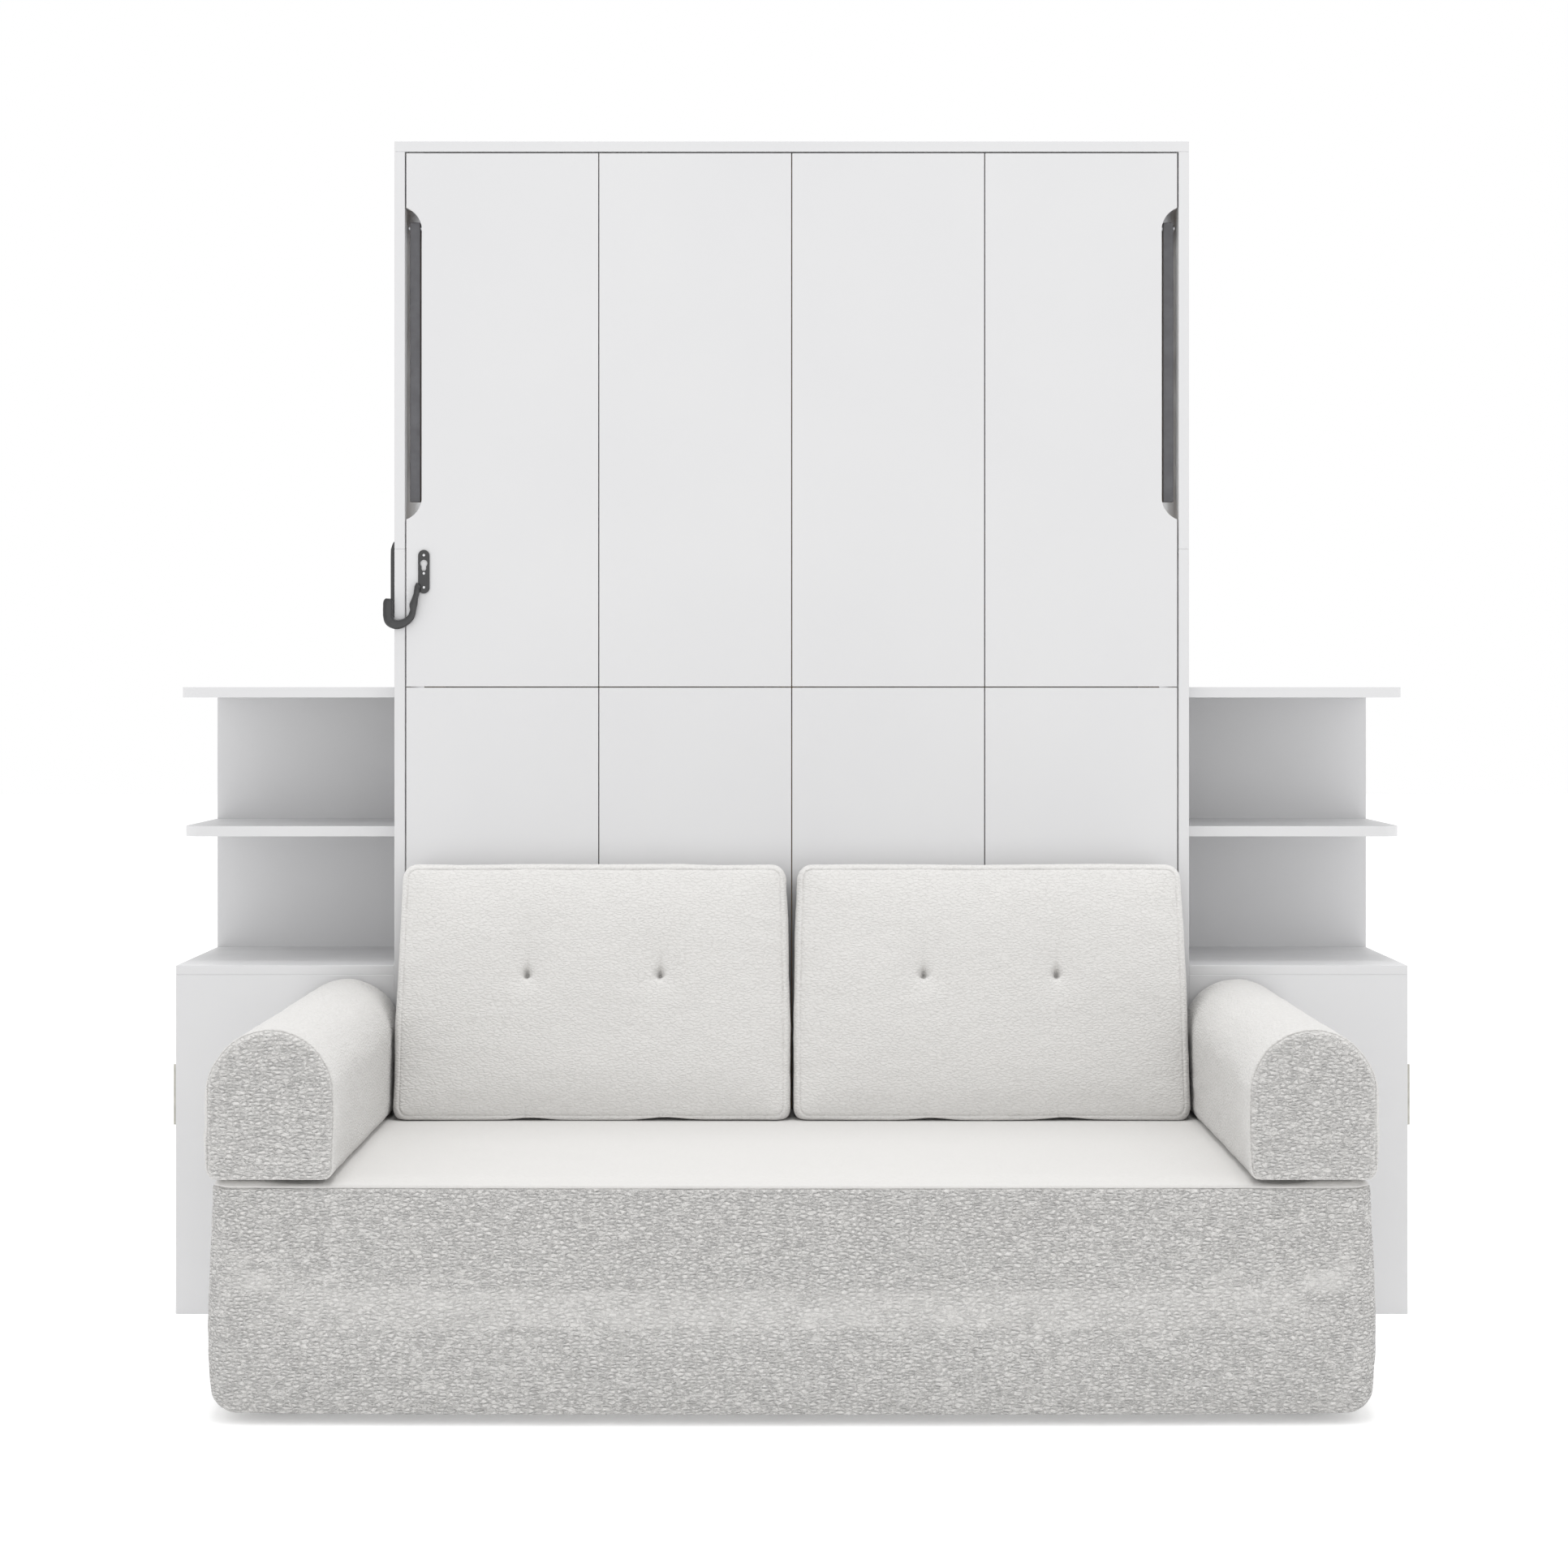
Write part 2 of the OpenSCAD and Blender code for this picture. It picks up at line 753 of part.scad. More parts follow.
// One knuckle and its leaf; the leaf reaches from y0 to y1
module hinge_part(z, part, y0, y1) {
    third = hinge_len / 3;
    z0 = z + part * third + hinge_gap / 2;
    z1 = z + (part + 1) * third - hinge_gap / 2;
    translate([hinge_x, hinge_back, z0]) cylinder(h = z1 - z0, r = knuckle_r);
    block([unit_x, y0, z0], [unit_x + hinge_leaf_t, y1, z1]);
}

// Fixed leaves with their pins, on the back panel's edge
module door_frame_hinges() {
    color("silver") at_face() both_sides()
        for (z = hinge_zs) union() {
            translate([hinge_x, hinge_back, z]) cylinder(h = hinge_len, r = hinge_pin_r);
            for (part = [0, 2])
                hinge_part(z, part, hinge_back, hinge_back + hinge_leaf_w);
        }
}

// Moving leaves, one middle knuckle each, on the door's outer face
module door_hinges(side) {
    color("silver") at_face() on_side(side)
        for (z = hinge_zs) difference() {
            hinge_part(z, 1, door_back - hinge_leaf_w, hinge_back);
            translate([hinge_x, hinge_back, z]) cylinder(h = hinge_len, r = hinge_pin_r + fit);
        }
}

module door_hinges_left() { door_hinges("left"); }
module door_hinges_right() { door_hinges("right"); }

// ---------- sofa ----------

module sofa_seat() {
    color("whitesmoke") at_face() translate([0, 0, foot_h + sofa_board_t])
        linear_extrude(seat_h - foot_h - sofa_board_t)
            round_rect([-sofa_w / 2, seat_front], [sofa_w / 2, -sofa_gap], seat_corner_r);
}

module sofa_base_board() {
    inset = sofa_board_inset;
    color("dimgray") at_face()
        block([-sofa_w / 2 + inset, seat_front + inset, foot_h],
              [sofa_w / 2 - inset, -sofa_gap - inset, foot_h + sofa_board_t]);
}

module sofa_feet() {
    reach_x = sofa_w / 2 - foot_inset;
    color("black") at_face()
        for (x = [-reach_x, 0, reach_x])
            for (y = [seat_front + foot_inset, -sofa_gap - foot_inset])
                translate([x, y, 0]) cylinder(h = foot_h, r = foot_r);
}

// Bolster with a round top
module armrest(side) {
    x_mid = arm_inner + arm_top_r;
    color("whitesmoke") at_face() on_side(side) profile_y(seat_front, -sofa_gap) union() {
        translate([arm_inner, seat_h]) square([arm_w, arm_round_z - seat_h]);
        translate([x_mid, arm_round_z]) circle(arm_top_r);
    }
}

module armrest_left() { armrest("left"); }
module armrest_right() { armrest("right"); }

// Cushion leaning back against the bed front, its lower end flat on the seat
module cushion(side) {
    front_y = -cushion_out;
    low_z = seat_h + cushion_lift;
    top_y = front_y + cushion_h * sin(cushion_lean);
    top_z = low_z + cushion_h * cos(cushion_lean);
    back_y = top_y + cushion_t * cos(cushion_lean);
    back_z = top_z - cushion_t * sin(cushion_lean);
    color("whitesmoke") at_face() on_side(side)
        profile_x(cushion_split / 2, cushion_split / 2 + cushion_w)
            polygon([[front_y, low_z],
                     [top_y, top_z],
                     [back_y, back_z],
                     [front_y + cushion_t / cos(cushion_lean), low_z]]);
}

module cushion_left() { cushion("left"); }
module cushion_right() { cushion("right"); }

side_left_lower();
side_left_upper();
side_right_lower();
side_right_upper();
top_panel();
top_back_rail();
bottom_back_rail();
kick_board();
side_joint_plates();
pivot_bearings();
strut_studs();
latch_keeper();
base_top_left();
base_top_right();
base_front_left();
base_front_right();
back_panel_left();
back_panel_right();
base_inner_sides();
base_bottoms();
shelf_middle_left();
shelf_middle_right();
shelf_top_left();
shelf_top_right();
door_frame_hinges();
sofa_seat();
sofa_base_board();
sofa_feet();
armrest_left();
armrest_right();
front_upper_left();
front_upper_middle();
front_upper_right();
front_lower();
bed_rail_left();
bed_rail_right();
bed_rail_head();
bed_rail_foot();
slat_ledgers();
slats();
mattress();
pivot_arm_left();
pivot_arm_right();
leg_pins();
latch_plate();
cushion_left();
cushion_right();
leg_left();
leg_right();
strut_cylinder_left();
strut_cylinder_right();
strut_rod_left();
strut_rod_right();
latch_hook();
door_left();
door_right();
door_pull_left();
door_pull_right();
door_hinges_left();
door_hinges_right();
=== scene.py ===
"""Finishes, hardware details and soft goods of a wall bed with a sofa and side shelves.

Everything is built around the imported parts, in metres, in their own frame. Lengths written in
millimetres are multiplied by MM. "out" is the distance from the cabinet's front face into the room.
"""

import logging
import math
from dataclasses import dataclass
from enum import Enum

import bpy
import numpy as np
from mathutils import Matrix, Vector


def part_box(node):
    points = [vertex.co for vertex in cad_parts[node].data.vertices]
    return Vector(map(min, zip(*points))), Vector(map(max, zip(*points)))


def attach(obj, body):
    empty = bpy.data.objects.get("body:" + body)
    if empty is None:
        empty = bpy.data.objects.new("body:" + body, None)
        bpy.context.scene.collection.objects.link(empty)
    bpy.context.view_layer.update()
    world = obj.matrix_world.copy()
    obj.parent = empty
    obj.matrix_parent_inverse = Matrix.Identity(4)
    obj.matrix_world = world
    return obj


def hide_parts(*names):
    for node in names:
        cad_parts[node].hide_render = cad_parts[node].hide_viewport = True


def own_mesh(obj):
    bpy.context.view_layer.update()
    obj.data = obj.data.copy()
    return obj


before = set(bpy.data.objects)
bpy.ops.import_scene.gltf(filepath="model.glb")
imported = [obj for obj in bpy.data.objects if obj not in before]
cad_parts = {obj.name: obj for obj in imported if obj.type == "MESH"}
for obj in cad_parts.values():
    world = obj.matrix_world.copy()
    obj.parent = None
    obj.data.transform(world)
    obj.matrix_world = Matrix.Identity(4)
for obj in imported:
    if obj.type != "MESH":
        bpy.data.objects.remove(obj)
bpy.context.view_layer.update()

MM = 0.001
FRONT_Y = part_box("side_left_lower")[0].y
WHITE = (0.65, 0.65, 0.655)
SWELL_FRAMES = 16
log = logging.getLogger("wall_bed")


# ---------- numbers in space ----------


def scatter(cells: np.ndarray, seed: int) -> np.ndarray:
    """Give each whole-number cell its own even value.

    Args:
        cells: Whole-number cell places, one row each.
        seed: Number that picks one set of values.

    Returns:
        One value from 0 to 1 for each row.
    """
    mixed = cells.astype(np.int64) @ np.array([374761393, 668265263, 1274126177], np.int64)
    mixed = (mixed + seed * 1442695041) & 0x7FFFFFFF
    mixed = ((mixed ^ (mixed >> 13)) * 1103515245) & 0x7FFFFFFF
    mixed = ((mixed ^ (mixed >> 15)) * 69069) & 0x7FFFFFFF
    return (mixed ^ (mixed >> 16)) / 0x7FFFFFFF


def ripple(points: np.ndarray, cell: tuple[float, float, float], seed: int) -> np.ndarray:
    """Smooth uneven height over space.

    Args:
        points: Places, one row each.
        cell: Size of one bump along x, y and z.
        seed: Number that picks one pattern.

    Returns:
        One height from -1 to 1 for each place.
    """
    at = points / np.array(cell)
    low = np.floor(at)
    share = at - low
    share = share * share * (3 - 2 * share)
    total = np.zeros(len(points))
    for corner in np.ndindex(2, 2, 2):
        step = np.array(corner)
        weight = np.prod(np.where(step == 1, share, 1 - share), axis=1)
        total += weight * scatter(low + step, seed)
    return 2 * total - 1


def lines(low: float, high: float, pitch: float, close: tuple[float, ...] = ()) -> np.ndarray:
    """Grid lines from low to high, drawn closer together at some places.

    Args:
        low: First line.
        high: Last line.
        pitch: Usual distance between lines.
        close: Places with close lines beside them, such as a seam.

    Returns:
        The lines in rising order.
    """
    usual = np.linspace(low, high, max(2, int(round((high - low) / pitch)) + 1))
    extra = [place + step * MM for place in close for step in (-5, -2.4, -1.1, 0, 1.1, 2.4, 5)]
    extra = [e for e in extra if low + 0.5 * MM < e < high - 0.5 * MM]
    extra = [e for n, e in enumerate(sorted(extra)) if n == 0 or e - sorted(extra)[n - 1] > 0.4 * MM]
    kept = [u for u in usual[1:-1] if all(abs(u - e) > 1.5 * MM for e in extra)]
    return np.array(sorted([usual[0], usual[-1], *kept, *extra]))


@dataclass
class BoxGrid:
    """Closed surface of a box, cut by grid lines along its three axes."""

    x: np.ndarray
    y: np.ndarray
    z: np.ndarray

    def __post_init__(self) -> None:
        """Number the surface points and list the faces."""
        shape = (len(self.x), len(self.y), len(self.z))
        i, j, k = np.meshgrid(*[np.arange(n) for n in shape], indexing="ij")
        ends = [(a == 0) | (a == n - 1) for a, n in zip((i, j, k), shape)]
        self.on_surface = ends[0] | ends[1] | ends[2]
        self.number = np.cumsum(self.on_surface).reshape(shape) - 1
        self.points = np.stack(
            [self.x[i[self.on_surface]], self.y[j[self.on_surface]], self.z[k[self.on_surface]]], axis=1
        )
        n = self.number
        sides = [
            (n[0], True),
            (n[-1], False),
            (n[:, 0], False),
            (n[:, -1], True),
            (n[:, :, 0], True),
            (n[:, :, -1], False),
        ]
        quads = []
        for side, turned in sides:
            a, b, c, d = side[:-1, :-1], side[1:, :-1], side[1:, 1:], side[:-1, 1:]
            ring = (a, d, c, b) if turned else (a, b, c, d)
            quads.append(np.stack([r.ravel() for r in ring], axis=1))
        self.faces = np.concatenate(quads)

    def field_at(self, values: np.ndarray, points: np.ndarray) -> np.ndarray:
        """Read values given at this grid's points at other places on the same box.

        Args:
            values: One row for each of this grid's points.
            points: Places on the box's surface.

        Returns:
            One row for each place.
        """
        whole = np.zeros((*self.on_surface.shape, values.shape[1]))
        whole[self.on_surface] = values
        cells, shares = [], []
        for axis, cuts in enumerate((self.x, self.y, self.z)):
            cell = np.clip(np.searchsorted(cuts, points[:, axis], side="right") - 1, 0, len(cuts) - 2)
            cells.append(cell)
            shares.append((points[:, axis] - cuts[cell]) / (cuts[cell + 1] - cuts[cell]))
        total = np.zeros((len(points), values.shape[1]))
        for corner in np.ndindex(2, 2, 2):
            weight = np.ones(len(points))
            for axis in range(3):
                weight *= shares[axis] if corner[axis] else 1 - shares[axis]
            place = tuple(cells[axis] + corner[axis] for axis in range(3))
            total += weight[:, None] * whole[place]
        return total


def round_ends(
    points: np.ndarray, low: np.ndarray, high: np.ndarray, axis: int, radii: tuple
) -> np.ndarray:
    """Round the edges between a box's two end faces and its walls.

    Args:
        points: Points on the box.
        low: Lowest corner of the box.
        high: Highest corner of the box.
        axis: Axis that runs from one end face to the other.
        radii: Radius at the low end and at the high end, as one number or one for each point.

    Returns:
        The moved points.
    """
    moved = points.copy()
    beside = [other for other in range(3) if other != axis]
    for end, direction, radius in ((low[axis], -1, radii[0]), (high[axis], 1, radii[1])):
        along = (points[:, axis] - end) * direction + radius
        rim = np.broadcast_to(radius, len(points))[:, None]
        inner = np.clip(points[:, beside], low[beside] + rim, high[beside] - rim)
        away = points[:, beside] - inner
        reach = np.abs(away).max(axis=1)
        near = (along > 0) & (reach > 0)
        share = np.ones(len(points))
        share[near] = np.maximum(along, reach)[near] / np.hypot(along, reach)[near]
        moved[near, axis] = end + direction * (along * share - rim[:, 0])[near]
        for column, other in enumerate(beside):
            moved[near, other] = (inner[:, column] + away[:, column] * share)[near]
    return moved


def turn_corner(
    points: np.ndarray,
    axes: tuple[int, int],
    corner: tuple[float, float],
    signs: tuple[int, int],
    radius: float,
) -> np.ndarray:
    """Round one upright corner of a form, with everything inside it.

    Args:
        points: Points of the form.
        axes: The two axes of the plane that the corner is drawn in.
        corner: The sharp corner's place in that plane.
        signs: Direction of the corner along each axis, 1 or -1.
        radius: Radius of the corner.

    Returns:
        The moved points.
    """
    moved = points.copy()
    centre = np.array(corner) - np.array(signs) * radius
    away = (points[:, list(axes)] - centre) * np.array(signs)
    inside = (away > 0).all(axis=1)
    square = away.max(axis=1)
    length = np.maximum(np.linalg.norm(away, axis=1), 1e-9)
    placed = centre + np.array(signs) * away * (square / length)[:, None]
    for column, axis in enumerate(axes):
        moved[inside, axis] = placed[inside, column]
    return moved


def outward(points: np.ndarray, faces: np.ndarray) -> np.ndarray:
    """Outward direction of a closed quad surface at each of its points."""
    a, b, c, d = (points[faces[:, n]] for n in range(4))
    flat = np.cross(c - a, d - b)
    total = np.zeros_like(points)
    for n in range(4):
        np.add.at(total, faces[:, n], flat)
    return total / np.maximum(np.linalg.norm(total, axis=1), 1e-12)[:, None]


def ease_in(values: np.ndarray, low: float, high: float) -> np.ndarray:
    """Smooth step from 0 at low to 1 at high."""
    share = np.clip((values - low) / (high - low), 0, 1)
    return share * share * (3 - 2 * share)


def dent(away: np.ndarray, width: float) -> np.ndarray:
    """Share of a rounded dent's depth at each distance from its middle."""
    return np.exp(-((away / width) ** 2))


# ---------- meshes ----------


def mesh_of(name: str, points: np.ndarray, faces: np.ndarray) -> bpy.types.Mesh:
    """Make a smooth-shaded mesh from points and faces."""
    mesh = bpy.data.meshes.new(name)
    mesh.from_pydata([tuple(p) for p in points], [], [tuple(int(i) for i in f) for f in faces])
    mesh.polygons.foreach_set("use_smooth", [True] * len(mesh.polygons))
    mesh.update()
    return mesh


def place(
    name: str,
    mesh: bpy.types.Mesh,
    body: str,
    slot: str,
    finish: bpy.types.Material,
    replaced: tuple[str, ...] = (),
) -> bpy.types.Object:
    """slot: The record's material slot; not used.
        finish: Its material.
        replaced: The CAD nodes it stands for.

    Returns:
        The new object.
    """
    piece = bpy.data.objects.new(name, mesh)
    bpy.context.scene.collection.objects.link(piece)
    mesh.materials.clear()
    mesh.materials.append(finish)
    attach(piece, body)
    if replaced:
        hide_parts(*replaced)
    log.info("%s on %s: %d faces", name, body, len(mesh.polygons))
    return piece


def sweep(route: np.ndarray, profile: np.ndarray, closed: bool = False, up: Vector | None = None) -> tuple:
    """Sweep a profile along a route.

    Args:
        route: Points of the route.
        profile: Points of the profile, one (across, up) row each, or one such set for each route point.
        closed: Whether the route joins its own start.
        up: Fixed direction that the profile's second number follows, or None for a free turn.

    Returns:
        The points and the faces.
    """
    count = len(route)
    ahead = np.roll(route, -1, axis=0) - np.roll(route, 1, axis=0)
    if not closed:
        ahead[0] = route[1] - route[0]
        ahead[-1] = route[-1] - route[-2]
    ahead /= np.maximum(np.linalg.norm(ahead, axis=1), 1e-12)[:, None]
    rise = np.array(up if up is not None else (0.0, 0.0, 1.0), float)
    profiles = profile if profile.ndim == 3 else np.repeat(profile[None], count, axis=0)
    rings = []
    for n in range(count):
        if up is None and abs(ahead[n] @ rise) > 0.95:
            rise = np.array([1.0, 0.0, 0.0])
        side = np.cross(ahead[n], rise)
        side /= max(np.linalg.norm(side), 1e-12)
        top = np.cross(side, ahead[n])
        if up is None:
            rise = top
        rings.append(route[n] + profiles[n][:, :1] * side + profiles[n][:, 1:] * top)
    points = np.concatenate(rings)
    around = profiles.shape[1]
    faces = []
    for n in range(count if closed else count - 1):
        here, there = n * around, ((n + 1) % count) * around
        for m in range(around):
            after = (m + 1) % around
            faces.append((here + m, here + after, there + after, there + m))
    if not closed:
        faces.append(tuple(range(around - 1, -1, -1)))
        faces.append(tuple((count - 1) * around + m for m in range(around)))
    return points, faces


def disc(radius: float, sides: int = 8, flat: float = 1.0) -> np.ndarray:
    """Profile of a round bar, or of an oval one where flat isn't 1."""
    turn = np.linspace(0, 2 * math.pi, sides, endpoint=False)
    return np.stack([radius * np.cos(turn), radius * flat * np.sin(turn)], axis=1)


def soft_square(sides: int, power: float) -> np.ndarray:
    """Profile between a circle and a square, squarer for a smaller power."""
    turn = np.linspace(0, 2 * math.pi, sides, endpoint=False)
    across, up = np.cos(turn), np.sin(turn)
    return np.stack([np.sign(across) * np.abs(across) ** power, np.sign(up) * np.abs(up) ** power], axis=1)


def lathe(outline: list[tuple[float, float]], axis: Vector, base: Vector, sides: int = 24) -> tuple:
    """Turn an outline of (radius, height) points about an axis.

    Args:
        outline: Points from the bottom's middle to the top's middle.
        axis: Direction of the axis.
        base: Place where the height is zero.
        sides: Number of steps around.

    Returns:
        The points and the faces.
    """
    turned = Vector(axis).normalized().to_track_quat("Z", "Y").to_matrix()
    points, faces = [], []
    for radius, height in outline:
        for n in range(sides):
            angle = 2 * math.pi * n / sides
            spoke = Vector((radius * math.cos(angle), radius * math.sin(angle), height))
            points.append(base + turned @ spoke)
    for ring in range(len(outline) - 1):
        for n in range(sides):
            a, b = ring * sides + n, ring * sides + (n + 1) % sides
            faces.append((a, b, b + sides, a + sides))
    faces.append(tuple(range(sides - 1, -1, -1)))
    faces.append(tuple((len(outline) - 1) * sides + n for n in range(sides)))
    return np.array(points), faces


def gather(parts: list[tuple]) -> tuple:
    """Join several lots of points and faces into one."""
    points, faces, start = [], [], 0
    for part_points, part_faces in parts:
        points.append(np.asarray(part_points, float))
        faces += [tuple(int(i) + start for i in f) for f in part_faces]
        start += len(part_points)
    return np.concatenate(points), faces


def fit(
    name: str, parts: list[tuple], body: str, slot: str, finish: bpy.types.Material
) -> bpy.types.Object:
    """Join several lots of points and faces into one piece and put it on its body.

    Args:
        name: The piece's name.
        parts: Points and faces of each lot.
        body: The body it rides on.
        slot: The record's material slot.
        finish: Its material.

    Returns:
        The new object.
    """
    points, faces = gather(parts)
    return place(name, mesh_of(name, points, faces), body, slot, finish)


def mirror_x(part: tuple) -> tuple:
    """Mirror points and faces from the right side to the left."""
    points, faces = part
    return np.asarray(points) * np.array([-1, 1, 1]), [tuple(reversed(f)) for f in faces]


def crisp(piece: bpy.types.Object, angle: float = 35) -> bpy.types.Object:
    """Keep edges sharper than an angle, in degrees, crisp on a smooth mesh."""
    piece.data.set_sharp_from_angle(angle=math.radians(angle))
    return piece


def ease(piece: bpy.types.Object, width: float, steps: int = 2, weld: bool = True) -> None:
    """Give a hard piece small rounded edges with modifiers.

    Args:
        piece: The object, whose own mesh stays as it is.
        width: Width of the rounded edge.
        steps: Number of faces across the edge.
        weld: Whether the mesh's points have to be joined first.
    """
    if weld:
        joined = piece.modifiers.new("joined", "WELD")
        joined.merge_threshold = 0.01 * MM
    bevel = piece.modifiers.new("eased", "BEVEL")
    bevel.width = width
    bevel.segments = steps
    bevel.limit_method = "ANGLE"
    bevel.angle_limit = math.radians(40)
    bevel.use_clamp_overlap = True
    shade = piece.modifiers.new("shade", "WEIGHTED_NORMAL")
    shade.mode = "FACE_AREA"
    shade.weight = 80


# ---------- finishes ----------


class Grain(Enum):
    """Direction that a piece of timber's grain runs in."""

    ACROSS = 0
    UPRIGHT = 2


class Sketch:
    """Short hand for drawing one node material."""

    def __init__(self, name: str) -> None:
        """Start a material with its shader and its place in space."""
        self.material = bpy.data.materials.new(name)
        self.material.use_nodes = True
        self.tree = self.material.node_tree
        self.shader = self.tree.nodes["Principled BSDF"]
        self.space = self.node("ShaderNodeTexCoord").outputs["Object"]

    def node(self, kind: str, **settings: object) -> bpy.types.Node:
        """Add a node and set its own options."""
        made = self.tree.nodes.new(kind)
        for name, value in settings.items():
            setattr(made, name, value)
        return made

    def link(self, start: bpy.types.NodeSocket, end: bpy.types.NodeSocket) -> None:
        """Join two sockets."""
        self.tree.links.new(start, end)

    def scaled(self, scale: tuple[float, float, float]) -> bpy.types.NodeSocket:
        """Space stretched by a factor along each axis."""
        made = self.node("ShaderNodeMapping")
        made.inputs["Scale"].default_value = scale
        self.link(self.space, made.inputs["Vector"])
        return made.outputs["Vector"]

    def noise(
        self, scale: float, detail: float = 2, space: bpy.types.NodeSocket | None = None, warp: float = 0
    ) -> bpy.types.NodeSocket:
        """Cloudy height from 0 to 1.

        Args:
            scale: Number of clouds in one unit of the space.
            detail: Number of finer layers.
            space: Stretched space, or None for the object's own.
            warp: Strength of the twisting.

        Returns:
            The height's socket.
        """
        made = self.node("ShaderNodeTexNoise")
        made.inputs["Scale"].default_value = scale
        made.inputs["Detail"].default_value = detail
        made.inputs["Distortion"].default_value = warp
        self.link(space or self.space, made.inputs["Vector"])
        return made.outputs["Fac"]

    def cells(
        self,
        scale: float,
        space: bpy.types.NodeSocket | None = None,
        output: str = "Distance",
        soft: float = 0,
    ) -> bpy.types.NodeSocket:
        """Distance to scattered points, or their colour.

        Args:
            scale: Number of points in one unit of the space.
            space: Stretched space, or None for the object's own.
            output: Name of the output to read.
            soft: Softness of the lines between cells.

        Returns:
            The output's socket.
        """
        made = self.node("ShaderNodeTexVoronoi", feature="SMOOTH_F1" if soft else "F1")
        made.inputs["Scale"].default_value = scale
        if soft:
            made.inputs["Smoothness"].default_value = soft
        self.link(space or self.space, made.inputs["Vector"])
        return made.outputs[output]

    def creases(self, scale: float, space: bpy.types.NodeSocket) -> bpy.types.NodeSocket:
        """Distance to the lines where scattered cells meet."""
        made = self.node("ShaderNodeTexVoronoi", feature="DISTANCE_TO_EDGE")
        made.inputs["Scale"].default_value = scale
        self.link(space, made.inputs["Vector"])
        return made.outputs["Distance"]

    def math(self, operation: str, a: object, b: object = 0.0, clamp: bool = False) -> bpy.types.NodeSocket:
        """One sum of two sockets or numbers."""
        made = self.node("ShaderNodeMath", operation=operation, use_clamp=clamp)
        for socket, value in zip(made.inputs, (a, b)):
            if isinstance(value, bpy.types.NodeSocket):
                self.link(value, socket)
            else:
                socket.default_value = value
        return made.outputs["Value"]

    def spread(
        self, value: bpy.types.NodeSocket, low: float, high: float, to_low: float, to_high: float
    ) -> bpy.types.NodeSocket:
        """Move a value from one range to another and keep it inside.

        Args:
            value: The value.
            low: Where the first range starts.
            high: Where the first range ends.
            to_low: Where the second range starts.
            to_high: Where the second range ends.

        Returns:
            The moved value's socket.
        """
        made = self.node("ShaderNodeMapRange", clamp=True)
        for name, number in zip(("From Min", "From Max", "To Min", "To Max"), (low, high, to_low, to_high)):
            made.inputs[name].default_value = number
        self.link(value, made.inputs["Value"])
        return made.outputs["Result"]

    def tones(
        self, value: bpy.types.NodeSocket, *stops: tuple[float, tuple[float, float, float]]
    ) -> bpy.types.NodeSocket:
        """Colour that follows a value through some stops.

        Args:
            value: The value.
            stops: Position and colour of each stop.

        Returns:
            The colour's socket.
        """
        made = self.node("ShaderNodeValToRGB")
        ramp = made.color_ramp
        while len(ramp.elements) < len(stops):
            ramp.elements.new(0.5)
        for element, (position, colour) in zip(ramp.elements, stops):
            element.position = position
            element.color = (*colour, 1)
        self.link(value, made.inputs["Fac"])
        return made.outputs["Color"]

    def blend(self, share: object, a: object, b: object, mode: str = "MIX") -> bpy.types.NodeSocket:
        """Mix of two colours."""
        made = self.node("ShaderNodeMix", data_type="RGBA", blend_type=mode)
        for socket, value in ((made.inputs[0], share), (made.inputs[6], a), (made.inputs[7], b)):
            if isinstance(value, bpy.types.NodeSocket):
                self.link(value, socket)
            else:
                socket.default_value = value if isinstance(value, float) else (*value, 1)
        return made.outputs[2]

    def attribute(self, name: str) -> bpy.types.NodeSocket:
        """Number that the mesh carries at each point."""
        return self.node("ShaderNodeAttribute", attribute_name=name).outputs["Fac"]

    def relief(self, height: bpy.types.NodeSocket, depth: float, strength: object = 1.0) -> None:
        """Draw surface relief over any relief drawn before.

        Args:
            height: Height from 0 to 1.
            depth: Depth that the height stands for.
            strength: Share of the relief that shows, as a number or a socket.
        """
        made = self.node("ShaderNodeBump")
        made.inputs["Distance"].default_value = depth
        if isinstance(strength, bpy.types.NodeSocket):
            self.link(strength, made.inputs["Strength"])
        else:
            made.inputs["Strength"].default_value = strength
        self.link(height, made.inputs["Height"])
        socket = self.shader.inputs["Normal"]
        if socket.is_linked:
            self.link(socket.links[0].from_socket, made.inputs["Normal"])
        self.link(made.outputs["Normal"], socket)

    def set(self, **values: float) -> None:
        """Set constant numbers on the shader's own sockets, with _ for a space in their names."""
        for name, value in values.items():
            self.shader.inputs[name.replace("_", " ")].default_value = value

    def colour(self, socket: bpy.types.NodeSocket) -> None:
        """Drive the base colour."""
        self.link(socket, self.shader.inputs["Base Color"])

    def rough(self, socket: bpy.types.NodeSocket) -> None:
        """Drive the roughness."""
        self.link(socket, self.shader.inputs["Roughness"])


@dataclass(frozen=True)
class Lacquer:
    """Satin paint on board, with a faint spray texture."""

    name: str
    tone: tuple[float, float, float]
    gloss: float = 0.42

    def make(self) -> bpy.types.Material:
        """Draw the material."""
        s = Sketch(self.name)
        drift = s.noise(2.3, 3)
        r, g, b = self.tone
        dull, bright = (r * 0.985, g * 0.985, b * 0.99), (r * 1.01, g * 1.01, b * 1.01)
        s.colour(s.tones(drift, (0.3, dull), (0.7, bright)))
        s.rough(s.spread(s.noise(14, 4), 0.3, 0.7, self.gloss - 0.05, self.gloss + 0.06))
        s.relief(s.noise(420, 2), 0.02 * MM, 0.35)
        s.relief(s.noise(60, 1), 0.03 * MM, 0.25)
        s.set(IOR=1.46)
        return s.material


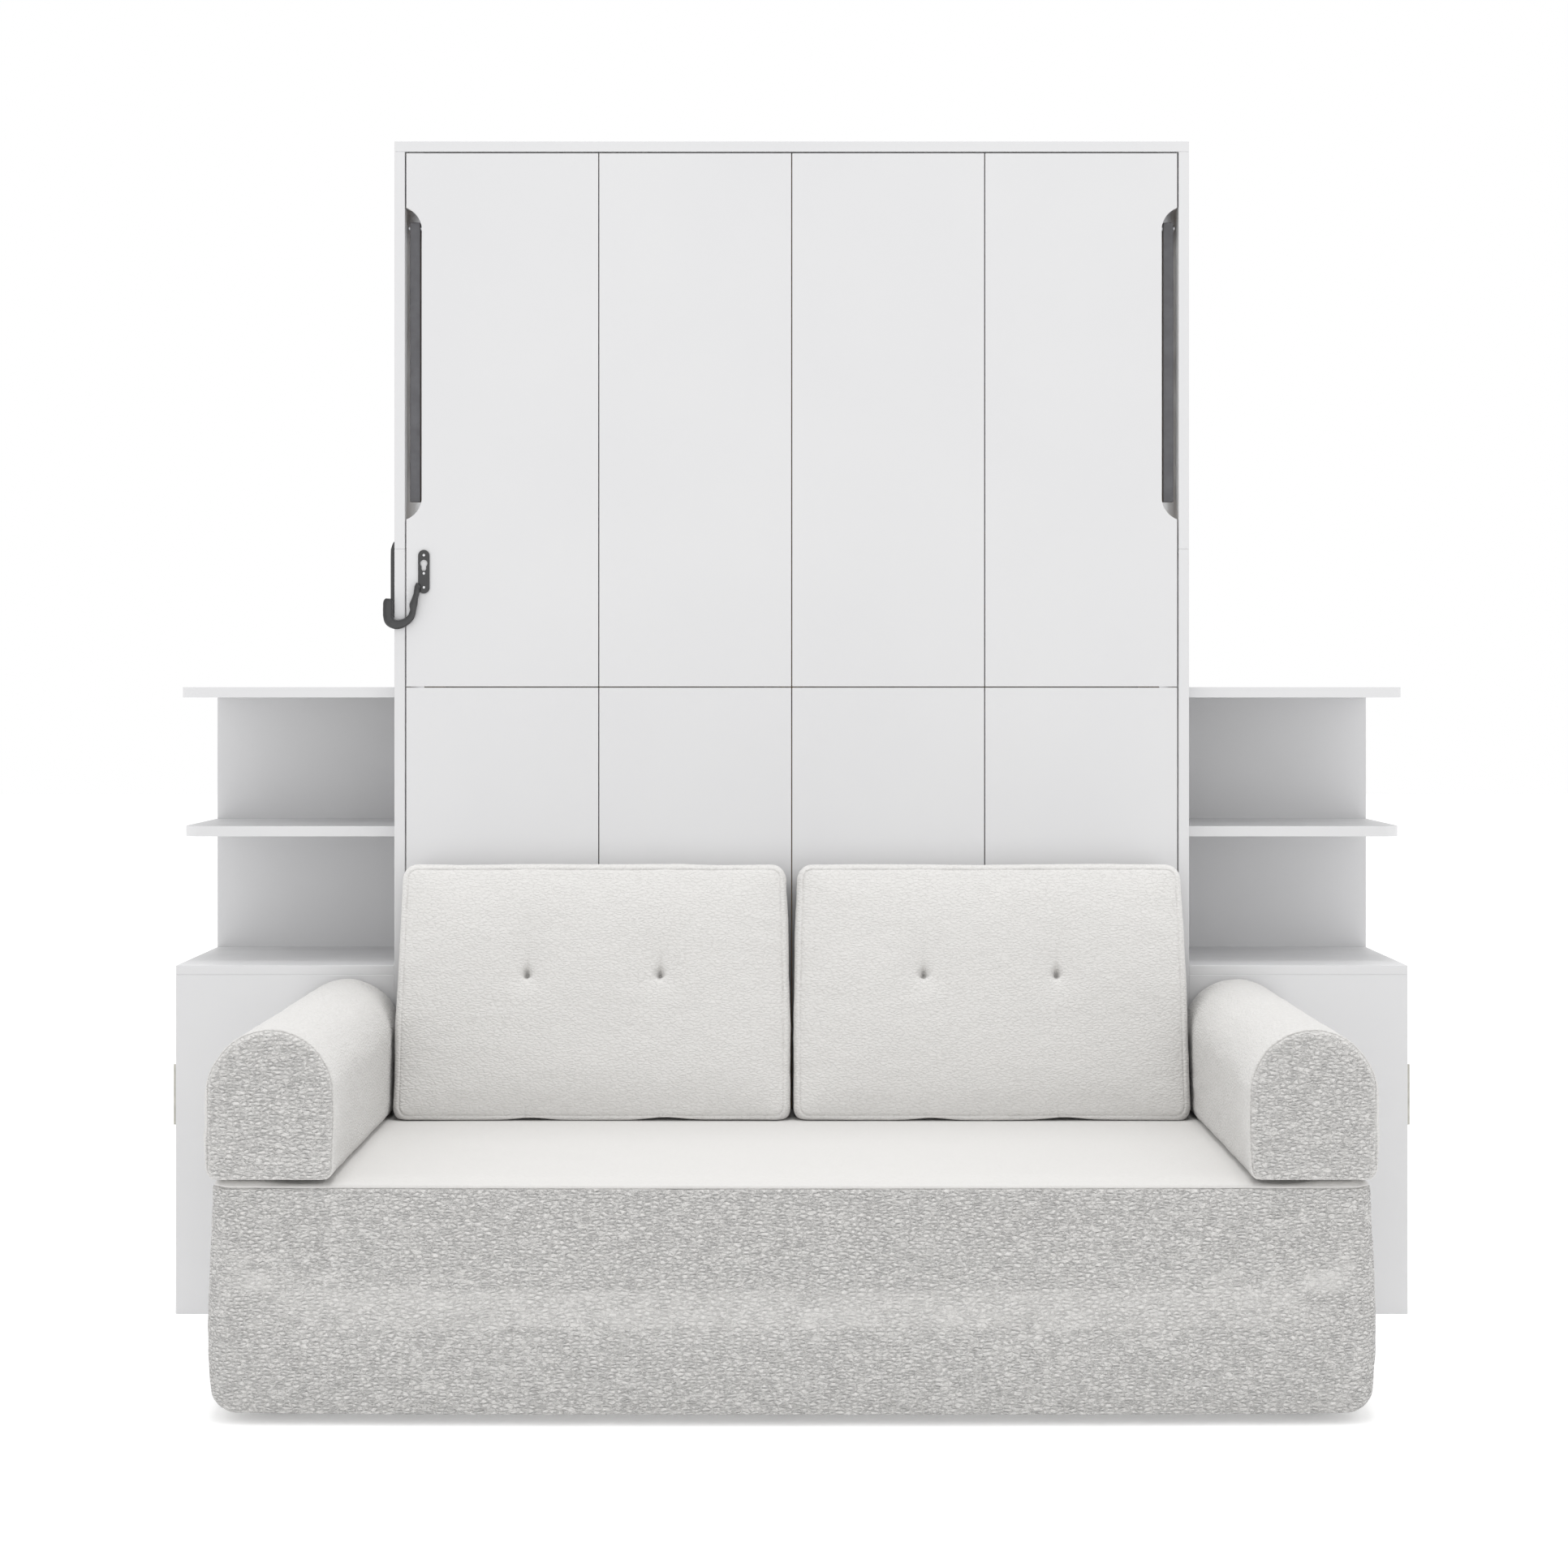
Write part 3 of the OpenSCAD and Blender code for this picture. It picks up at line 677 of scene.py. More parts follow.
@dataclass(frozen=True)
class Timber:
    """Planed wood with grain, growth rings and a few knots."""

    name: str
    pale: tuple[float, float, float]
    deep: tuple[float, float, float]
    grain: Grain
    knots: bool = False

    def make(self) -> bpy.types.Material:
        """Draw the material."""
        s = Sketch(self.name)
        along = [34.0, 34.0, 34.0]
        along[self.grain.value] = 1.6
        fine = [420.0, 420.0, 420.0]
        fine[self.grain.value] = 9.0
        rings = s.noise(1.0, 4, s.scaled(tuple(along)), 0.9)
        fibres = s.noise(1.0, 3, s.scaled(tuple(fine)))
        mid = tuple((p + d) / 2 for p, d in zip(self.pale, self.deep))
        tone = s.tones(rings, (0.32, self.deep), (0.46, mid), (0.56, self.pale), (0.7, mid))
        tone = s.blend(s.spread(fibres, 0.35, 0.7, 0.0, 0.35), tone, self.deep)
        if self.knots:
            flat = [5.0, 5.0, 5.0]
            flat[self.grain.value] = 2.2
            spot = s.spread(s.cells(1.0, s.scaled(tuple(flat))), 0.03, 0.09, 1.0, 0.0)
            tone = s.blend(spot, tone, (0.16, 0.07, 0.03))
        s.colour(tone)
        s.rough(s.spread(fibres, 0.2, 0.8, 0.5, 0.68))
        s.relief(fibres, 0.12 * MM, 0.5)
        return s.material


@dataclass(frozen=True)
class Boucle:
    """Looped wool cloth: nubs of yarn, longer across than up, with fine loops on them.

    The mesh's nap sets how strong the relief is and how much painted shade darkens the creases between nubs;
    where the cloth lies flat and faces up, its colour is multiplied by a painted shade factor.
    """

    name: str
    light: tuple[float, float, float]
    shade: tuple[float, float, float]
    nub: tuple[float, float, float]
    depth: float
    flat_top_shade: float = 1.0

    def make(self) -> bpy.types.Material:
        """Draw the material."""
        s = Sketch(self.name)
        stretch = s.scaled(tuple(1 / n for n in self.nub))
        folds = s.spread(s.creases(1.0, stretch), 0.0, 0.26, 0.0, 1.0)
        lumps = s.spread(s.cells(1.6, stretch, soft=0.3), 0.12, 0.7, 1.0, 0.0)
        height = s.math("ADD", s.math("MULTIPLY", lumps, 0.4), s.math("MULTIPLY", folds, 0.6))
        loops = s.cells(460, soft=0.3)
        nap = s.attribute("nap")
        # Painted shade: the colour darkens in the creases between nubs, and this shaded tone is used only
        # where the nap is high, on the upright walls.
        tone = s.tones(height, (0.05, self.shade), (0.35, self.light))
        tone = s.blend(s.spread(nap, 0.1, 0.6, 0.0, 1.0), self.light, tone)
        drift = s.spread(s.noise(7, 3), 0.35, 0.65, 0.0, 0.4)
        tone = s.blend(drift, tone, tuple(c * 0.98 for c in self.light))
        # Painted shade: cloth that lies flat and faces up is multiplied by a set darker factor.
        flat = s.spread(nap, 0.25, 0.7, 1.0, 0.0)
        tone = s.blend(flat, tone, (self.flat_top_shade, self.flat_top_shade, self.flat_top_shade), "MULTIPLY")
        s.colour(tone)
        s.relief(height, self.depth, nap)
        s.relief(loops, 0.5 * MM, 0.35)
        s.set(Roughness=0.95, Sheen_Weight=0.25, Sheen_Roughness=0.6, Specular_IOR_Level=0.15)
        return s.material


@dataclass(frozen=True)
class Ticking:
    """Knitted mattress cloth with a small raised pattern."""

    name: str
    tone: tuple[float, float, float]

    def make(self) -> bpy.types.Material:
        """Draw the material."""
        s = Sketch(self.name)
        cells = s.cells(240, soft=0.5)
        ribs = s.node("ShaderNodeTexWave", wave_type="BANDS", bands_direction="DIAGONAL")
        ribs.inputs["Scale"].default_value = 130
        ribs.inputs["Distortion"].default_value = 1.5
        s.link(s.space, ribs.inputs["Vector"])
        height = s.math("ADD", s.math("MULTIPLY", cells, 0.6), s.math("MULTIPLY", ribs.outputs["Fac"], 0.4))
        r, g, b = self.tone
        s.colour(s.tones(height, (0.15, (r * 0.86, g * 0.87, b * 0.9)), (0.6, self.tone)))
        s.relief(height, 0.5 * MM, 0.6)
        s.set(Roughness=0.9, Sheen_Weight=0.2, Specular_IOR_Level=0.2)
        return s.material


@dataclass(frozen=True)
class Webbing:
    """Woven tape with ribs along one axis."""

    name: str
    tone: tuple[float, float, float]
    pitch: float = 1.2 * MM

    def make(self) -> bpy.types.Material:
        """Draw the material."""
        s = Sketch(self.name)
        waves = []
        for direction in ("X", "Z"):
            wave = s.node("ShaderNodeTexWave", wave_type="BANDS", bands_direction=direction)
            wave.inputs["Scale"].default_value = 0.32 / self.pitch
            s.link(s.space, wave.inputs["Vector"])
            waves.append(wave.outputs["Fac"])
        height = s.math("MULTIPLY", *waves)
        r, g, b = self.tone
        s.colour(s.tones(height, (0.0, (r * 0.6, g * 0.6, b * 0.6)), (0.6, self.tone)))
        s.relief(height, 0.4 * MM, 0.8)
        s.set(Roughness=0.85)
        return s.material


@dataclass(frozen=True)
class Metal:
    """Bare or plated metal, brushed along one axis or spangled."""

    name: str
    tone: tuple[float, float, float]
    gloss: float
    brushed: bool = True

    def make(self) -> bpy.types.Material:
        """Draw the material."""
        s = Sketch(self.name)
        r, g, b = self.tone
        marks = s.noise(1.0, 3, s.scaled((900, 900, 30))) if self.brushed else s.cells(170, output="Color")
        s.colour(s.tones(marks, (0.2, (r * 0.86, g * 0.86, b * 0.87)), (0.8, self.tone)))
        s.rough(s.spread(marks, 0.2, 0.8, self.gloss, self.gloss + 0.14))
        s.relief(marks, 0.02 * MM, 0.3)
        s.set(Metallic=1.0)
        return s.material


@dataclass(frozen=True)
class Coated:
    """Painted or powder-coated metal and moulded plastic, with a fine orange-peel texture."""

    name: str
    tone: tuple[float, float, float]
    gloss: float
    peel: float
    coat: float = 0.0

    def make(self) -> bpy.types.Material:
        """Draw the material."""
        s = Sketch(self.name)
        r, g, b = self.tone
        peel = s.noise(self.peel, 2)
        drift = s.noise(35, 3)
        s.colour(s.tones(drift, (0.3, (r * 0.8, g * 0.8, b * 0.8)), (0.7, (r * 1.12, g * 1.12, b * 1.12))))
        s.rough(s.spread(drift, 0.3, 0.7, self.gloss, self.gloss + 0.12))
        s.relief(peel, 0.08 * MM, 0.5)
        s.set(Coat_Weight=self.coat, Coat_Roughness=0.12)
        return s.material


@dataclass
class Finishes:
    """Every material of the object, made once."""

    def __post_init__(self) -> None:
        """Make the materials."""
        pine = ((0.62, 0.43, 0.24), (0.42, 0.25, 0.12))
        birch = ((0.72, 0.57, 0.38), (0.56, 0.41, 0.25))
        self.board = Lacquer("board_white", WHITE).make()
        self.pine_upright = Timber("pine_upright", *pine, Grain.UPRIGHT, knots=True).make()
        self.pine_across = Timber("pine_across", *pine, Grain.ACROSS, knots=True).make()
        self.birch = Timber("slat_birch", *birch, Grain.ACROSS).make()
        self.ply = Timber("base_ply", (0.15, 0.13, 0.11), (0.09, 0.08, 0.07), Grain.ACROSS).make()
        # crease and hollow are painted shade colours for the creases between the nubs.
        cream, crease = (0.625, 0.615, 0.60), (0.555, 0.545, 0.53)
        pale, hollow = (0.68, 0.67, 0.655), (0.60, 0.59, 0.575)
        # The 0.93 is the painted shade on the flat tops of the seat and arms.
        self.boucle = Boucle("boucle", cream, crease, (12 * MM, 11 * MM, 6 * MM), 6.5 * MM, 0.93).make()
        self.boucle_fine = Boucle("boucle_fine", pale, hollow, (11 * MM, 10 * MM, 5.5 * MM), 1.6 * MM).make()
        self.ticking = Ticking("mattress_ticking", (0.60, 0.60, 0.62)).make()
        self.tape = Webbing("edge_tape", (0.5, 0.52, 0.56)).make()
        self.strap = Webbing("strap_black", (0.03, 0.03, 0.032)).make()
        self.plastic = Coated("foot_plastic", (0.03, 0.03, 0.03), 0.5, 900).make()
        self.zinc = Metal("zinc_steel", (0.62, 0.63, 0.65), 0.3, brushed=False).make()
        self.dark = Coated("dark_steel", (0.10, 0.10, 0.11), 0.4, 700).make()
        self.leg = Coated("leg_grey", (0.13, 0.13, 0.14), 0.42, 1100).make()
        self.strut = Coated("strut_black", (0.02, 0.02, 0.02), 0.22, 200, 0.6).make()
        self.chrome = Metal("rod_chrome", (0.82, 0.82, 0.84), 0.07).make()
        self.cast = Coated("latch_black", (0.012, 0.012, 0.013), 0.24, 380, 0.5).make()
        self.screw = Metal("screw_bright", (0.75, 0.75, 0.76), 0.22).make()
        self.greige = Coated("pull_greige", (0.48, 0.47, 0.42), 0.38, 900).make()


def dress(finish: bpy.types.Material, slot: str, *nodes: str, edge: float = 0.0, steps: int = 2) -> None:
    """Give CAD nodes their material and rounded edges.

    Args:
        finish: The material.
        slot: The record's material slot; not used.
        nodes: The nodes' names.
        edge: Width of their rounded edges, or 0 for none.
        steps: Number of faces across an edge.
    """
    for name in nodes:
        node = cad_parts[name]
        node.data.materials.clear()
        node.data.materials.append(finish)
        if edge:
            ease(node, edge, steps)
        log.info("%s dressed with %s", name, finish.name)


def both(stem: str) -> tuple[str, str]:
    """Names of a left and a right node."""
    return f"{stem}_left", f"{stem}_right"


# ---------- screws ----------


@dataclass
class PanScrew:
    """Round-headed screw with a cross recess."""

    radius: float
    height: float

    def build(self, base: Vector, axis: Vector) -> tuple:
        """Make one head whose underside sits at base.

        Args:
            base: Middle of the underside.
            axis: Direction that the head faces.

        Returns:
            The points and the faces.
        """
        r, h = self.radius, self.height
        outline = [(r * 0.3, -h), (r, -0.1 * MM), (r, h * 0.3), (r * 0.93, h * 0.62), (r * 0.76, h * 0.86)]
        outline += [(r * 0.5, h), (r * 0.34, h), (r * 0.3, h * 0.45), (r * 0.05, h * 0.35)]
        head = lathe(outline, axis, base, 20)
        turned = Vector(axis).normalized().to_track_quat("Z", "Y").to_matrix()
        bars = []
        for angle in (0.6, 0.6 + math.pi / 2):
            u = Vector((math.cos(angle), math.sin(angle), 0))
            v = Vector((-math.sin(angle), math.cos(angle), 0))
            corners = [(-1, -1), (1, -1), (1, 1), (-1, 1)]
            ring = [u * (a * r * 0.62) + v * (b * r * 0.12) for a, b in corners]
            low = [base + turned @ (p + Vector((0, 0, h * 0.9))) for p in ring]
            high = [base + turned @ (p + Vector((0, 0, h * 1.03))) for p in ring]
            sides = [(n, (n + 1) % 4, 4 + (n + 1) % 4, 4 + n) for n in range(4)]
            faces = [(3, 2, 1, 0), (4, 5, 6, 7)] + sides
            bars.append((np.array(low + high), faces))
        return gather([head, *bars])


# ---------- soft goods ----------


@dataclass
class PaddedForm:
    """Padded piece: drawn as an eased box, swollen as cloth, then sewn and laid in place."""

    name: str
    node: str
    body: str
    edge: float = 16 * MM
    pressure: float = 4.0
    cap: float = 10 * MM
    coarse: float = 20 * MM
    fill: float = 0.8

    def __post_init__(self) -> None:
        """Read the space that the CAD solid holds."""
        low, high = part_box(self.node)
        self.low, self.high = np.array(low), np.array(high)
        self.rough_grid: BoxGrid | None = None
        self.swell: np.ndarray | None = None
        self.cloth: bpy.types.Object | None = None

    def grid(self) -> BoxGrid:
        """Grid that the final surface is cut by."""
        raise NotImplementedError

    def drawn(self, points: np.ndarray) -> np.ndarray:
        """Form before it swells."""
        return round_ends(points, self.low, self.high, 1, (self.edge, self.edge))

    def held(self, points: np.ndarray) -> np.ndarray:
        """Share from 0 to 1 by which each point is kept from swelling."""
        return np.zeros(len(points))

    def sewn(self, box: np.ndarray, points: np.ndarray, normals: np.ndarray) -> np.ndarray:
        """Seams, tufts and unevenness, over the swollen form."""
        return points

    def nap(self, box: np.ndarray, normals: np.ndarray) -> np.ndarray:
        """Strength of the cloth's relief at each point; it also sets where the boucle's painted shade shows.
        """
        return np.full(len(box), 0.6)

    def laid(self, points: np.ndarray) -> np.ndarray:
        """Form moved from the frame it is drawn in to the row frame."""
        return points

    def hang_cloth(self) -> None:
        """Make the rough cloth that the swelling is worked out on."""
        counts = [max(4, int(round(span / self.coarse)) + 1) for span in self.high - self.low]
        cuts = [np.linspace(*ends) for ends in zip(self.low, self.high, counts)]
        self.rough_grid = BoxGrid(*cuts)
        points = self.drawn(self.rough_grid.points)
        mesh = mesh_of(f"{self.name}_cloth", points, self.rough_grid.faces)
        self.cloth = bpy.data.objects.new(mesh.name, mesh)
        bpy.context.scene.collection.objects.link(self.cloth)
        group = self.cloth.vertex_groups.new(name="held")
        for n, share in enumerate(self.held(self.rough_grid.points)):
            if share > 0:
                group.add([n], float(share), "REPLACE")
        cloth = self.cloth.modifiers.new("cloth", "CLOTH")
        settings = cloth.settings
        settings.quality = 4
        settings.mass = 0.05
        settings.tension_stiffness = 6
        settings.compression_stiffness = 6
        settings.shear_stiffness = 3
        settings.bending_stiffness = 0.3
        settings.use_pressure = True
        settings.uniform_pressure_force = self.pressure
        settings.effector_weights.gravity = 0
        settings.vertex_group_mass = "held"
        settings.pin_stiffness = 1
        cloth.point_cache.frame_start = 1
        cloth.point_cache.frame_end = SWELL_FRAMES

    def read_cloth(self, depsgraph: bpy.types.Depsgraph) -> None:
        """Keep how far each point has moved, up to the cap, and remove the cloth."""
        rest = self.drawn(self.rough_grid.points)
        moved = np.zeros(len(rest) * 3)
        self.cloth.evaluated_get(depsgraph).data.vertices.foreach_get("co", moved)
        normals = outward(rest, self.rough_grid.faces)
        push = ((moved.reshape(-1, 3) - rest) * normals).sum(axis=1)
        self.keep_swell(push, normals)
        bpy.data.objects.remove(self.cloth)
        self.cloth = None

    def keep_swell(self, push: np.ndarray, normals: np.ndarray) -> None:
        """Bring an outward movement softly under the cap and keep it."""
        log.info("%s swells by %.1f to %.1f mm before the cap", self.name, push.min() / MM, push.max() / MM)
        self.swell = normals * (self.cap * np.tanh(push / self.cap))[:, None]

    def surface(self) -> tuple[np.ndarray, np.ndarray, np.ndarray]:
        """Final points, faces and relief strength."""
        grid = self.grid()
        box = grid.points
        points = self.drawn(box) + self.rough_grid.field_at(self.swell, box)
        normals = outward(points, grid.faces)
        points = self.sewn(box, points, normals)
        return self.laid(points), grid.faces, self.nap(box, normals)

    def build(self, slot: str, finish: bpy.types.Material) -> bpy.types.Object:
        """Make the piece and put it on its body."""
        points, faces, nap = self.surface()
        mesh = mesh_of(self.name, points, faces)
        mesh.attributes.new("nap", "FLOAT", "POINT").data.foreach_set("value", nap.astype(np.float32))
        piece = place(self.name, mesh, self.body, slot, finish, (self.node,))
        return piece


def run_swelling(forms: list[PaddedForm]) -> None:
    """Swell all the padded forms at once, as cloth under air pressure.

    Args:
        forms: The forms, which keep their own result.
    """
    scene = bpy.context.scene
    for form in forms:
        form.hang_cloth()
    for number in range(1, SWELL_FRAMES + 1):
        scene.frame_set(number)
    depsgraph = bpy.context.evaluated_depsgraph_get()
    for form in forms:
        form.read_cloth(depsgraph)
    scene.frame_set(1)


def pinch(place_on: np.ndarray, at: float, width: float, depth: float) -> np.ndarray:
    """Depth of a seam's narrow groove at each distance along one axis."""
    return depth * dent(place_on - at, width)


@dataclass
class SeatCover(PaddedForm):
    """Cover of the seat block, with one seam under its top edge."""

    seam_drop: float = 5 * MM
    corner: float = 45 * MM
    foot_corner: float = 34 * MM
    foot_edge: float = 10 * MM
    bow: float = 9 * MM
    waist: float = 8 * MM

    def __post_init__(self) -> None:
        """Let the cover reach down over the edge of its base board."""
        super().__post_init__()
        self.low[2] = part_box("sofa_base_board")[0].z - 3.5 * MM

    def grid(self) -> BoxGrid:
        """Grid with close lines at the seam."""
        seam = self.high[2] - self.seam_drop
        return BoxGrid(
            lines(self.low[0], self.high[0], 7.5 * MM),
            lines(self.low[1], self.high[1], 15 * MM),
            lines(self.low[2], self.high[2], 5 * MM, (seam,)),
        )

    def drawn(self, points: np.ndarray) -> np.ndarray:
        """Block with round upright corners, rounder at the foot, full sides and a bowed front."""
        middle = (self.low[0] + self.high[0]) / 2
        share = (points[:, 0] - middle) / (self.high[0] - middle)
        foot = self.foot_edge + (self.foot_corner - self.foot_edge) * ease_in(np.abs(share), 0.93, 1.0)
        moved = round_ends(points, self.low, self.high, 2, (foot, self.edge))
        for sign, x in ((-1, self.low[0]), (1, self.high[0])):
            for turn, y in ((-1, self.low[1]), (1, self.high[1])):
                moved = turn_corner(moved, (0, 1), (x, y), (sign, turn), self.corner)
        rise = np.clip((moved[:, 2] - self.low[2]) / (self.high[2] - self.low[2]), 0, 1)
        full = np.sin(np.pi * rise**0.85)
        moved[:, 0] += self.waist * (full - 0.3) * share**9
        moved[:, 2] += 4 * MM * share**14 * (1 - rise) ** 6
        ahead = np.clip((self.high[1] - moved[:, 1]) / (self.high[1] - self.low[1]), 0, 1)
        moved[:, 1] += self.bow * share**2 * ahead
        return moved

    def held(self, points: np.ndarray) -> np.ndarray:
        """The foot rests on its board and the back stands by the cabinet."""
        foot = points[:, 2] < self.low[2] + 12 * MM
        back = points[:, 1] > self.high[1] - 12 * MM
        return np.where(foot | back, 1.0, 0.0)

    def sewn(self, box: np.ndarray, points: np.ndarray, normals: np.ndarray) -> np.ndarray:
        """Seam round the walls, a level top where other pieces sit, and wandering cloth."""
        wall = np.abs(normals[:, 2]) < 0.93
        uneven = 1 + 0.5 * ripple(points, (0.03, 0.03, 1.0), 5)
        depth = pinch(box[:, 2], self.high[2] - self.seam_drop, 2.0 * MM, 4.2 * MM) * uneven * wall
        above = np.clip((box[:, 2] - self.high[2] + self.seam_drop + 2 * MM) / (6 * MM), 0, 1)
        band = 1.2 * MM * above * wall * ripple(points, (0.09, 0.09, 1.0), 8)
        cloth = 0.9 * MM * ripple(points, (0.05, 0.05, 0.022), 11)
        cloth = cloth + 0.5 * MM * ripple(points, (0.02, 0.02, 0.011), 12)
        moved = points + normals * (band + cloth * (0.4 + 0.6 * wall) - depth)[:, None]
        top = self.high[2] + 1.5 * MM * (1 + 0.3 * ripple(points, (0.2, 0.2, 1), 3))
        over = moved[:, 2] - top
        moved[:, 2] = np.where(over > 0, top + 2.5 * MM * np.tanh(over / (9 * MM)), moved[:, 2])
        moved[:, 2] = np.maximum(moved[:, 2], self.low[2] + 0.5 * MM)
        moved[:, 1] = np.minimum(moved[:, 1], self.high[1] + 1 * MM)
        return moved

    def nap(self, box: np.ndarray, normals: np.ndarray) -> np.ndarray:
        """Full relief on the walls, less on the smoothed top."""
        return 1.0 - 0.94 * np.clip(normals[:, 2] * 1.4, 0, 1)


@dataclass
class ArmCover(PaddedForm):
    """Cover of one armrest: a round-topped bolster with a panel sewn into each end."""

    seam_in: float = 6 * MM
    top_corner: float = 101.5 * MM
    foot_corner: float = 24 * MM
    bulge: float = 6 * MM

    def grid(self) -> BoxGrid:
        """Grid with close lines at the two end seams."""
        seams = (self.low[1] + self.seam_in, self.high[1] - self.seam_in)
        return BoxGrid(
            lines(self.low[0], self.high[0], 5 * MM),
            lines(self.low[1], self.high[1], 9 * MM, seams),
            lines(self.low[2], self.high[2], 5 * MM),
        )

    def drawn(self, points: np.ndarray) -> np.ndarray:
        """Block with a round top, small round lower corners and a full outer side."""
        moved = round_ends(points, self.low, self.high, 1, (self.edge, self.edge))
        for sign, x in ((-1, self.low[0]), (1, self.high[0])):
            moved = turn_corner(moved, (0, 2), (x, self.high[2]), (sign, 1), self.top_corner)
            moved = turn_corner(moved, (0, 2), (x, self.low[2]), (sign, -1), self.foot_corner)
        middle = (self.low[0] + self.high[0]) / 2
        outer = math.copysign(1, middle)
        share = np.clip((moved[:, 0] - middle) * outer / (self.high[0] - middle), -1, 1)
        rise = np.clip((moved[:, 2] - self.low[2]) / (self.high[2] - self.low[2]), 0, 1)
        full = np.sin(np.pi * np.clip(rise * 1.2, 0, 1))
        ahead = (self.high[1] - moved[:, 1]) / (self.high[1] - self.low[1])
        free = ease_in(ahead, 0.78, 0.95)
        moved[:, 0] += outer * self.bulge * share**2 * np.where(share > 0, full, -0.8 * full * free)
        return moved

    def held(self, points: np.ndarray) -> np.ndarray:
        """The foot is sewn to the seat, and the inner side keeps clear of the bed front."""
        inner = np.abs(points[:, 0]) < min(abs(self.low[0]), abs(self.high[0])) + 1 * MM
        return np.where(inner | (points[:, 2] < self.low[2] + 10 * MM), 1.0, 0.0)

    def sewn(self, box: np.ndarray, points: np.ndarray, normals: np.ndarray) -> np.ndarray:
        """End seams and wandering cloth."""
        wall = (np.abs(normals[:, 1]) < 0.93) & (normals[:, 2] > -0.8)
        uneven = 1 + 0.5 * ripple(points, (0.02, 1.0, 0.02), 15)
        ends = [self.low[1] + self.seam_in, self.high[1] - self.seam_in]
        depth = sum(pinch(box[:, 1], at, 2.0 * MM, 4.2 * MM) for at in ends) * uneven * wall
        cloth = 0.8 * MM * ripple(points, (0.04, 0.05, 0.022), 16)
        cloth = cloth + 0.5 * MM * ripple(points, (0.018, 0.02, 0.01), 17)
        moved = points + normals * (cloth - depth)[:, None]
        ahead = (self.high[1] - points[:, 1]) / (self.high[1] - self.low[1])
        moved[:, 2] = np.maximum(moved[:, 2], self.low[2] + 1.5 * MM + 4.5 * MM * ease_in(ahead, 0.9, 1.0))
        moved[:, 1] = np.minimum(moved[:, 1], self.high[1] + 1 * MM)
        return moved

    def nap(self, box: np.ndarray, normals: np.ndarray) -> np.ndarray:
        """Full relief on the end panels, less along the bolster."""
        return 0.34 + 0.66 * np.clip(np.abs(normals[:, 1]) * 1.3 - 0.3, 0, 1)


